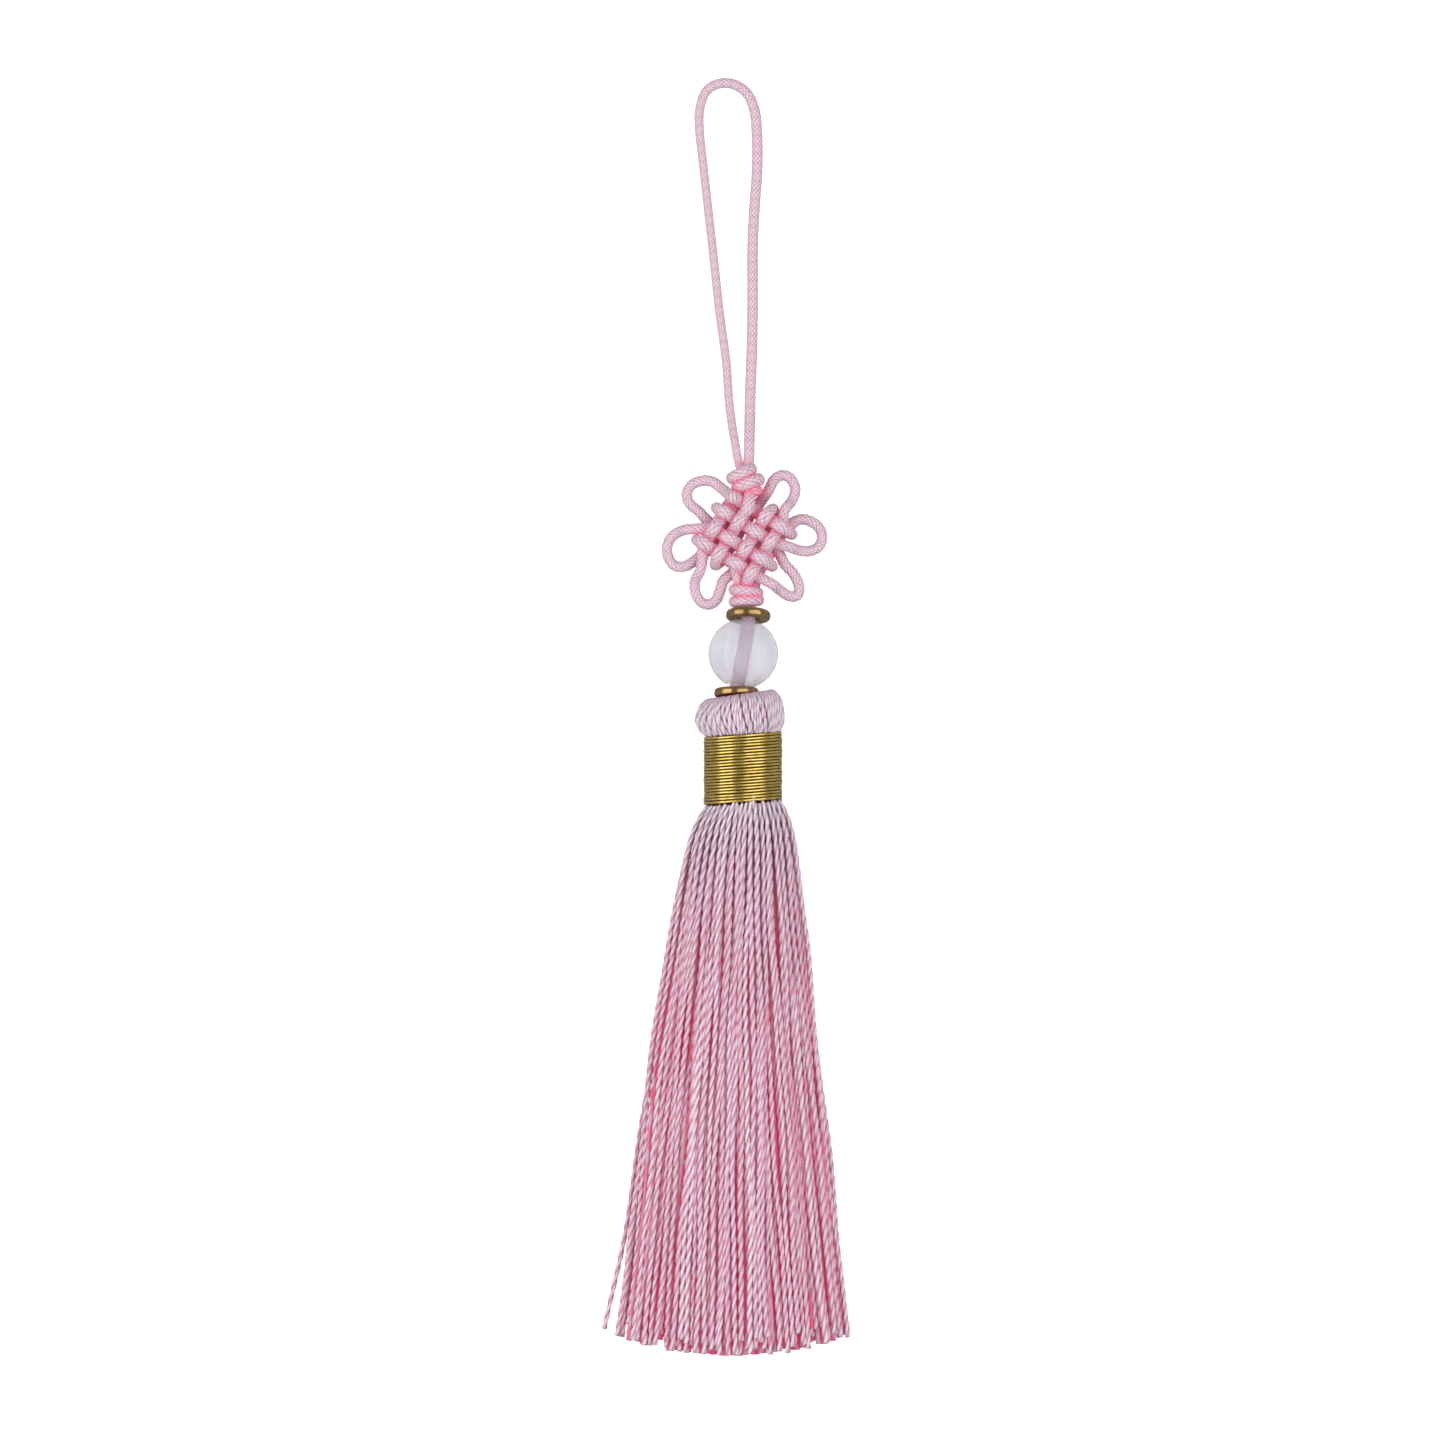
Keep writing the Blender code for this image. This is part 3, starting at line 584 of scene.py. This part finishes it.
antique_gold = old_gold()
for ring_name, node, ring_y, lean in (("upper_metal_ring", "upper_ring", 10.05 * MM, 0.0),
                                      ("lower_metal_ring", "lower_ring", 2.22 * MM, 8.0)):
    ring = make_piece(ring_name, [on_tail(ring_skin(), ring_y, lean)], {})
    ring.data.materials.append(antique_gold)
    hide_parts(node)

# Glass bead: 7 mm, milky and clear enough to show the pink cord in its bore.
BEAD_R = 3.54 * MM
BEAD_Y = 6.20 * MM


def bead_skin():
    bore_angle = math.asin(BORE_R / BEAD_R)
    profile = []
    for index in range(64):
        angle = bore_angle + (math.pi - 2 * bore_angle) * index / 63
        profile.append((BEAD_R * math.sin(angle), BEAD_R * math.cos(angle)))
    for index in range(12):
        height = BEAD_R * math.cos(bore_angle) * (2 * (index + 1) / 13 - 1)
        profile.append((BORE_R, height))
    return turned(profile, 128)


def milky_glass():
    """Milky lavender glass: clouded, with a clear bore and a soft gloss."""
    material, surface, start = new_finish("milky glass", roughness=0.22, ior=1.45,
                                          specular_ior_level=0.3, subsurface_weight=0.8,
                                          subsurface_scale=2.4 * MM)
    surface.inputs["Subsurface Radius"].default_value = (1.0, 1.0, 1.1)
    cloud = (start.noise(420.0, 2.0, (1.0, 0.22, 1.0)) * 2.2 - 0.6).clamped()
    use(surface, "Base Color", cloud.blend((0.56, 0.55, 0.66, 1.0), (0.84, 0.82, 0.90, 1.0)))
    use(surface, "Alpha", (0.46 + cloud * 0.12 - start.mark("bore") * 0.6).clamped())
    return material


bead_points, bead_faces = bead_skin()
in_bore = (np.hypot(bead_points[:, 0], bead_points[:, 1]) < 1.02 * BORE_R).astype(float)
bead = make_piece("glass_bead", [on_tail((bead_points, bead_faces), BEAD_Y)], {"bore": [in_bore]})
bead.data.materials.append(milky_glass())
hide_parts("bead")

# Thread head: the tassel's threads fold over the cord's knotted end, cover a ball of
# waste yarn and run down into the binding. They are two-ply lilac rayon.
THREAD_LAY = 2.8 * MM
THREAD_RING_STEP = 0.28 * MM
PLY_ANGLES = np.radians((-24.0, 24.0, 90.0, 156.0, 204.0, 270.0))
PLY_REACH = np.array((1.0, 1.0, 0.74, 1.0, 1.0, 0.74))
PLY_DEPTH = np.array((0.0, 0.0, 1.0, 0.0, 0.0, 1.0))
HEAD_THREADS = 74
HEAD_THREAD_D = 0.45 * MM
HEAD_THREAD_LAY = 2.3 * MM
HEAD_THREAD_FULL_R = 3.6 * MM
HEAD_SLANT = 0.26
CROWN_TILT = 0.085
CROWN_HIGH_X = 2.6 * MM
CROWN_HEIGHT = 4.0 * MM
CROWN_FROM = 2.9 * MM
# The middle tone the crown is evened to: painted shade under the lower ring.
CROWN_SHADE = 0.62
SKEW = math.tan(math.radians(3.5))
TASSEL_AXIS_Z = 4.15 * MM
BINDING_TOP_Y = -1.92 * MM
NECK_X = 0.34 * MM
HEAD_PROFILE_MM = (
    (1.45, 2.10), (1.80, 2.45), (2.65, 3.00), (3.00, 3.88), (3.45, 4.06), (4.00, 3.60),
    (4.38, 2.80), (4.53, 1.90), (4.38, 0.95), (4.02, 0.30), (3.60, -0.30), (3.35, -1.20),
)


def plied_thread(route, width, lay, start_turn, first_side=(0.0, 0.0, 1.0)):
    """A two-ply thread's skin, with 1 in the grooves between its plies and 0 on them."""
    twist = start_turn + math.tau * along_route(route) / lay
    radii = np.reshape(np.broadcast_to(width, len(route)), (-1, 1)) / 2 * PLY_REACH
    skin = tube_skin(route, radii, first_side, twist, PLY_ANGLES)
    return skin, np.append(np.tile(PLY_DEPTH, len(route)), [1.0, 1.0])


def lilac_rayon():
    """Lilac rayon thread: a painted highlight on its plies, painted shade in deep pink between them, and
    painted shade on threads down in the pile.
    """
    material, surface, start = new_finish("lilac rayon thread", roughness=0.36, sheen_weight=0.2,
                                          sheen_roughness=0.35, emission_strength=1.0)
    groove_shade = start.mark("ply_depth")
    buried = start.mark("buried")
    shade = start.mark("thread_shade")
    near_binding = start.mark("pale")
    # Near-white crests are a painted highlight on the plies; each thread lies at random between the
    # bright and the dim one.
    crest_highlight = near_binding.blend((1.0, 0.84, 0.95, 1.0), (1.0, 0.90, 0.98, 1.0))
    dim_crest_highlight = near_binding.blend((0.90, 0.58, 0.73, 1.0), (0.90, 0.76, 0.86, 1.0))
    # Between the plies: painted shade.
    between_plies_shade = near_binding.blend((0.50, 0.14, 0.24, 1.0), (0.42, 0.27, 0.36, 1.0))
    plied = (groove_shade ** 1.3).blend(shade.blend(dim_crest_highlight, crest_highlight), between_plies_shade)
    # Threads down in the pile turn deep pink: painted shade.
    use(surface, "Base Color", buried.blend(plied, (0.72, 0.09, 0.20, 1.0)))
    # A painted glow in the grooves and down in the pile, though the thread is no lamp.
    glow = near_binding.blend((0.08, 0.02, 0.04, 1.0), (0.02, 0.015, 0.02, 1.0))
    glowing = (groove_shade * 0.8).blend((0.0, 0.0, 0.0, 1.0), glow)
    use(surface, "Emission Color", buried.blend(glowing, (0.16, 0.014, 0.04, 1.0)))
    fibres = start.noise(5200.0, 2.0)
    use(surface, "Normal", start.node("ShaderNodeBump", None,
                                      {"Strength": 0.25, "Distance": 0.02 * MM, "Height": fibres}))
    return material


def head_place(radius, height, angle, least_z):
    """A point of the head, which leans left of the neck and whose crown falls to the left."""
    lean = NECK_X * (1 - min(max(height / (1.9 * MM), 0.0), 1.0))
    x = radius * math.cos(angle) + lean
    fall = CROWN_TILT * (CROWN_HIGH_X - x) * min(max(height / CROWN_HEIGHT, 0.0), 1.0)
    return (x, BINDING_TOP_Y + height + SKEW * x - fall,
            max(TASSEL_AXIS_Z + radius * math.sin(angle), least_z))


rayon = lilac_rayon()
threads = random.Random(5)
head_profile = smooth_route([(radius * MM, height * MM, 0.0) for radius, height in HEAD_PROFILE_MM],
                            0.19 * MM)
head_radius = head_profile[:, 0]
head_thread_width = HEAD_THREAD_D * np.clip(head_radius / HEAD_THREAD_FULL_R, 0.3, 1.0)
head_skins = []
head_marks = {"ply_depth": [], "buried": [], "thread_shade": [], "pale": []}
for number in range(HEAD_THREADS):
    angle = math.tau * (number + 0.2 * threads.uniform(-1, 1)) / HEAD_THREADS
    slant = HEAD_SLANT + 0.05 * threads.uniform(-1, 1)
    puff = threads.uniform(-0.04, 0.05) * MM
    route = np.array([head_place(radius - HEAD_THREAD_D * 0.45 + puff, height,
                                 angle - slant * index / len(head_profile), HEAD_THREAD_D / 2)
                      for index, (radius, height, _) in enumerate(head_profile)])
    skin, depth = plied_thread(route, head_thread_width, HEAD_THREAD_LAY, threads.uniform(0, math.tau))
    # On the crown the plies give way to one middle tone: painted shade under the lower ring.
    crown = np.clip((head_profile[:, 1] - CROWN_FROM) / (CROWN_HEIGHT - CROWN_FROM), 0, 1)
    crown = np.append(np.repeat(crown, len(PLY_ANGLES)), [1.0, 1.0])
    depth = depth + (CROWN_SHADE - depth) * crown
    head_skins.append(skin)
    head_marks["ply_depth"].append(depth)
    head_marks["buried"].append(np.zeros(len(depth)))
    head_marks["thread_shade"].append(np.full(len(depth), threads.uniform(0.3, 1.0)))
    head_marks["pale"].append(np.full(len(depth), 0.85))
ball_profile = [(max(radius - 1.05 * HEAD_THREAD_D, 0.2 * MM), height)
                for radius, height, _ in head_profile]
ball_profile += [(0.2 * MM, ball_profile[-1][1]), (0.2 * MM, ball_profile[0][1])]
ball_points, ball_faces = turned(ball_profile, 64)
ball_points = np.array([head_place(math.hypot(x, y), z, math.atan2(y, x), 0.1 * MM)
                        for x, y, z in ball_points])
head_skins.append((ball_points, ball_faces))
# The ball shows only between the threads, in the groove colour with some buried shade: painted shade.
for mark, value in (("ply_depth", 1.0), ("buried", 0.3), ("thread_shade", 0.2), ("pale", 0.8)):
    head_marks[mark].append(np.full(len(ball_points), value))
head = make_piece("thread_head", head_skins, head_marks)
head.data.materials.append(rayon)

# Skirt: the same threads leave the binding as a round bundle and spread over the surface
# into a flat fan, where each column of threads has opened into two. They bunch and part a
# little, so that deeper threads show between the upper ones.
LATTICE = 18
THREAD_W = 0.57 * MM
ROOT_THREAD_W = 0.50 * MM
LEVEL_RISE = 0.435 * MM
BINDING_LENGTH = 7.08 * MM
SKIRT_LENGTH = 55.8 * MM
EDGE_SHORTER = 1.9 * MM
SKIRT_X = 0.40 * MM
SKIRT_DRIFT = -1.0 * MM
DRIFT_LENGTH = 16.0 * MM
SKIRT_NECK_W = 3.80 * MM
SKIRT_SWELL = 1.45 * MM
SWELL_LENGTH = 2.0 * MM
SKIRT_SPREAD = 0.119
FLATTEN_LENGTH = 34.0 * MM
SKEW_FADE = 6.0 * MM
TIP_RAGGED = 1.9 * MM
TIP_FRAY_LENGTH = 1.1 * MM
TIP_FRAY = 0.3
STRAND_WANDER = 0.16 * MM
BUNCHING = 0.20 * MM
BUNCHES = 5.5
SUNK_SHARE = 0.16
SUNK_DEPTH = 0.42 * MM
STRAY_REACH = 1.35 * MM
FINE_LEVELS = 2
PLAIN_SIDES = 5
PLAIN_STEP = 0.60 * MM
PALE_LENGTH = 9.0 * MM
SKIRT_PIECES = 5
HEIGHT_CELL = 0.30 * MM
# Depth below the pile's top where threads start to get painted shade, and the depth over which it becomes
# full.
BURIED_FROM = 0.22 * MM
BURIED_BY = 0.85 * MM
THIN_PILE = 1.1 * MM


def lattice_rows(column):
    last = LATTICE - 1
    across = (2 * column - last) / LATTICE
    return [row for row in range(LATTICE) if across ** 2 + ((2 * row - last) / LATTICE) ** 2 < 1.0]


def strand_route(column, row, step, chance, level_phase):
    """A strand's middle line, from inside the binding to its tip, and its flatness."""
    last = LATTICE - 1
    edge = abs(2 * column - last) / LATTICE
    length = SKIRT_LENGTH - EDGE_SHORTER * edge ** 2 - TIP_RAGGED * chance.random() ** 2
    along = np.linspace(-0.9 * MM, length, round(length / step))
    below = np.maximum(along, 0.0)
    flat = np.clip(below / FLATTEN_LENGTH, 0, 1)
    flat = flat * flat * (3 - 2 * flat)
    half_width = SKIRT_NECK_W + SKIRT_SWELL * (1 - np.exp(-below / SWELL_LENGTH)) + SKIRT_SPREAD * below
    half_width = half_width + 0.7 * np.minimum(along, 0.0)
    rows = lattice_rows(column)
    level = (row - rows[0]) // 2
    round_x = (2 * column - last) / LATTICE
    fan_x = (2 * column + row % 2 - last - 0.5 + 0.5 * (level % 2 - 0.5)) / (last + 0.5)
    across = half_width * (round_x + (fan_x - round_x) * flat)
    round_z = TASSEL_AXIS_Z + (2 * row - last) / LATTICE * SKIRT_NECK_W
    fan_z = THREAD_W / 2 + level * LEVEL_RISE
    z = round_z + (fan_z - round_z) * flat
    phases = [chance.uniform(0, math.tau) for _ in range(4)]
    wave = 0.4 * np.sin(below / (2.6 * MM) + phases[0]) + np.sin(below / (6.5 * MM) + phases[1])
    loosened = np.clip(below / (14 * MM), 0, 1)
    bunch = np.sin(math.tau * BUNCHES * fan_x / 2 + level_phase + below / (21 * MM))
    top_levels = level >= (rows[-1] - rows[0]) // 2 - 1
    sunk = SUNK_DEPTH if top_levels and level and chance.random() < SUNK_SHARE else 0.0
    sinking = np.clip(np.sin(below / (15 * MM) + phases[2]) * 1.6, 0, 1)
    x = (SKIRT_X + SKIRT_DRIFT * (1 - np.exp(-below / DRIFT_LENGTH)) + across
         + loosened * (STRAND_WANDER * wave + BUNCHING * bunch))
    y = BINDING_TOP_Y - BINDING_LENGTH - along + SKEW * across * np.exp(-below / SKEW_FADE)
    z = z - sunk * sinking * loosened + 0.06 * MM * np.sin(below / (5.0 * MM) + phases[3]) * loosened
    if column == 0 and row == rows[0]:
        x = x - STRAY_REACH * (below / length) ** 3
    return np.column_stack([x, y, np.maximum(z, 0.55 * THREAD_W)]), flat, below


def cell_of(route):
    """The height map's cells under a route."""
    return (np.floor((route[:, 0] + 20 * MM) / HEIGHT_CELL).astype(int),
            np.floor((route[:, 1] + 70 * MM) / HEIGHT_CELL).astype(int))


skirt = random.Random(11)
level_phases = [skirt.uniform(0, math.tau) for _ in range(LATTICE)]
strands = []
for column in range(LATTICE):
    rows = lattice_rows(column)
    for row in rows:
        from_top = (rows[-1] - rows[0]) // 2 - (row - rows[0]) // 2
        fine = from_top < FINE_LEVELS or column in (0, LATTICE - 1)
        route, flat, below = strand_route(column, row, THREAD_RING_STEP if fine else PLAIN_STEP,
                                          skirt, level_phases[from_top])
        strands.append((fine, route, flat, below))
top_height = np.zeros((round(40 * MM / HEIGHT_CELL), round(70 * MM / HEIGHT_CELL)))
for _, route, _, _ in strands:
    np.maximum.at(top_height, cell_of(route), route[:, 2])
spread_height = top_height.copy()
for shift_x in (-1, 0, 1):
    for shift_y in (-2, -1, 0, 1, 2):
        spread_height = np.maximum(spread_height, np.roll(top_height, (shift_x, shift_y), (0, 1)))
skirt_skins = []
skirt_marks = []
for fine, route, flat, below in strands:
    width = ROOT_THREAD_W + (THREAD_W - ROOT_THREAD_W) * np.clip(below / (9 * MM), 0, 1)
    tip = np.clip(1 - (below[-1] - below) / TIP_FRAY_LENGTH, 0, 1)
    width = width * (skirt.uniform(0.9, 1.1) + TIP_FRAY * tip * skirt.random())
    start_turn = skirt.uniform(0, math.tau)
    if fine:
        skin, depth = plied_thread(route, width, THREAD_LAY * skirt.uniform(0.9, 1.12), start_turn,
                                   (1.0, 0.0, 0.0))
    else:
        skin = tube_skin(route, np.repeat(width[:, None] / 2, PLAIN_SIDES, axis=1), (1.0, 0.0, 0.0))
        depth = np.full(len(skin[0]), 0.5)
    sides = (len(skin[0]) - 2) // len(route)
    # Threads that lie under others get painted shade, more where the pile is thick.
    deep = np.clip((spread_height[cell_of(route)] - route[:, 2] - BURIED_FROM) / BURIED_BY, 0, 1)
    piled = np.clip((spread_height[cell_of(route)] - THIN_PILE) / THIN_PILE, 0.25, 1)
    buried = np.append(np.repeat(deep * piled * flat ** 0.7, sides), [0.3, 0.0])
    pale = np.append(np.repeat(np.maximum(np.exp(-below / PALE_LENGTH), 0.6 * tip), sides), [1.0, 0.8])
    skirt_skins.append(skin)
    skirt_marks.append({"ply_depth": depth, "buried": buried, "pale": pale,
                        "thread_shade": np.full(len(depth), skirt.uniform(0.0, 1.0))})
share_count = math.ceil(len(skirt_skins) / SKIRT_PIECES)
skirt_pieces = []
for number in range(SKIRT_PIECES):
    chosen = slice(number * share_count, (number + 1) * share_count)
    marks = {mark: [item[mark] for item in skirt_marks[chosen]] for mark in skirt_marks[0]}
    piece = make_piece("skirt_threads_%d" % (number + 1), skirt_skins[chosen], marks)
    piece.data.materials.append(rayon)
    skirt_pieces.append(piece)
for piece in (head, *skirt_pieces):
    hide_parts("tassel")

# Gold binding: metallic thread wound round the neck in 22 close turns, a little askew and
# uneven, over a dark brown tube that is painted shade between the turns.
BINDING_TURNS = 22
BINDING_R = 4.0 * MM
BINDING_THREAD_D = 0.31 * MM
BINDING_SIDES = 12
BINDING_RING_STEP = 0.26 * MM
BINDING_WOBBLE_R = 0.06 * MM
BINDING_WOBBLE_Y = 0.02 * MM
WOUND_SHADE_FROM = 0.5
WOUND_SHADE_WIDTH = 0.4


def wound_route():
    """The middle line of the gold thread, from the binding's top turn to its last."""
    pitch = BINDING_LENGTH / BINDING_TURNS
    turns = np.linspace(0, BINDING_TURNS, round(BINDING_TURNS * math.tau * BINDING_R / BINDING_RING_STEP))
    chance = np.random.default_rng(3)
    stations = np.arange(0, BINDING_TURNS + 1, 1 / 9)
    loose_r = np.interp(turns, stations, chance.uniform(-1, 0.6, len(stations)))
    loose_y = np.interp(turns, stations, chance.uniform(-1, 1, len(stations)))
    radius = BINDING_R - BINDING_THREAD_D / 2 + BINDING_WOBBLE_R * loose_r
    x = NECK_X + radius * np.cos(math.tau * turns)
    y = BINDING_TOP_Y - pitch * (turns + 0.1) * (BINDING_TURNS - 0.9) / BINDING_TURNS
    y = y + BINDING_WOBBLE_Y * loose_y + SKEW * x
    return np.column_stack([x, y - 0.1 * MM, TASSEL_AXIS_Z + radius * np.sin(math.tau * turns)])


def gold_lurex():
    """Metallic gold thread: bright yellow on the turns, with painted shade in brown where the turns meet
    and on the tube beneath.
    """
    material, surface, start = new_finish("gold thread", metallic=1.0)
    groove_shade = start.mark("ply_depth")
    spark = (start.noise(1500.0, 3.0) * 1.8 - 0.4).clamped()
    bright = spark.blend((0.62, 0.39, 0.05, 1.0), (1.0, 0.80, 0.28, 1.0))
    # Brown where turns face each other and on the tube beneath: painted shade.
    use(surface, "Base Color", groove_shade.blend(bright, (0.10, 0.035, 0.006, 1.0)))
    use(surface, "Roughness", 0.24 + groove_shade * 0.3)
    use(surface, "Normal", start.node("ShaderNodeBump", None,
                                      {"Strength": 0.3, "Distance": 0.03 * MM, "Height": spark}))
    return material


wound = wound_route()
wound_skin = tube_skin(wound, np.full((len(wound), BINDING_SIDES), BINDING_THREAD_D / 2), (1.0, 0.0, 0.0))
# The sides of each turn that face its neighbours are marked for painted shade.
from_middle = wound_skin[0][:-2, 1] - np.repeat(wound[:, 1], BINDING_SIDES)
wound_share = abs(from_middle) / (BINDING_THREAD_D / 2)
wound_shade = np.clip((wound_share - WOUND_SHADE_FROM) / WOUND_SHADE_WIDTH, 0, 1)
# A dark tube under the turns: painted shade seen in the gaps between them.
under_r = BINDING_R - 0.75 * BINDING_THREAD_D
under_points, under_faces = turned([(3.45 * MM, 0.0), (under_r, 0.0), (under_r, -BINDING_LENGTH),
                                    (3.45 * MM, -BINDING_LENGTH)][::-1], 96)
under_points = np.column_stack([under_points[:, 0] + NECK_X,
                                BINDING_TOP_Y + under_points[:, 2] + SKEW * (under_points[:, 0] + NECK_X),
                                TASSEL_AXIS_Z + under_points[:, 1]])
binding = make_piece("gold_thread_binding", [wound_skin, (under_points, under_faces)],
                     {"ply_depth": [wound_shade, [1.0, 1.0], np.ones(len(under_points))]})
binding.data.materials.append(gold_lurex())
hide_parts("gold_binding")

# Surface and light: a plain white table that glows a little, as in a light tent, but
# throws only part of that light on the tassel, and two soft boxes, one on each side,
# which leave a dimmer strip straight above.
TABLE_GLOW = 0.75
TABLE_BOUNCE = 0.45
WORLD_GLOW = 0.34
SOFT_BOXES = (
    {"name": "left_soft_box", "side": -1, "angle_deg": 52.0, "width": 0.65, "power": 3.0},
    {"name": "right_soft_box", "side": 1, "angle_deg": 35.0, "width": 0.80, "power": 3.3},
)
SOFT_BOX_LENGTH = 0.9
SOFT_BOX_DISTANCE = 0.7

bpy.ops.mesh.primitive_plane_add(size=3.0)
table = bpy.context.object
table.name = "table_top"
table_material, table_surface, table_start = new_finish("table white", roughness=0.9,
                                                       emission_strength=TABLE_GLOW)
table_surface.inputs["Base Color"].default_value = (0.95, 0.95, 0.95, 1.0)
table_surface.inputs["Emission Color"].default_value = (1.0, 1.0, 1.0, 1.0)
dull = table_start.node("ShaderNodeBsdfDiffuse", None, {"Color": (*3 * (TABLE_BOUNCE,), 1.0)})
bright = Shade(table_start.tree, table_surface.outputs["BSDF"])
seen = table_start.node("ShaderNodeLightPath")
table_mix = table_start.node("ShaderNodeMixShader", None, {0: seen, 1: dull, 2: bright})
table_output = table_start.tree.nodes["Material Output"]
table_start.tree.links.new(table_mix.socket, table_output.inputs["Surface"])
table.data.materials.append(table_material)

for row in SOFT_BOXES:
    lamp = bpy.data.lights.new(row["name"], "AREA")
    lamp.shape = "RECTANGLE"
    lamp.size = row["width"]
    lamp.size_y = SOFT_BOX_LENGTH
    lamp.energy = row["power"]
    box = bpy.data.objects.new(row["name"], lamp)
    angle = math.radians(row["angle_deg"])
    box.location = (row["side"] * SOFT_BOX_DISTANCE * math.sin(angle), 0.0,
                    SOFT_BOX_DISTANCE * math.cos(angle))
    box.rotation_euler = (0.0, row["side"] * angle, 0.0)
    bpy.context.scene.collection.objects.link(box)
world = bpy.data.worlds.new("studio")
world.use_nodes = True
world.node_tree.nodes["Background"].inputs["Color"].default_value = (1.0, 1.0, 1.0, 1.0)
world.node_tree.nodes["Background"].inputs["Strength"].default_value = WORLD_GLOW
bpy.context.scene.world = world
bpy.context.scene.view_settings.view_transform = "Standard"
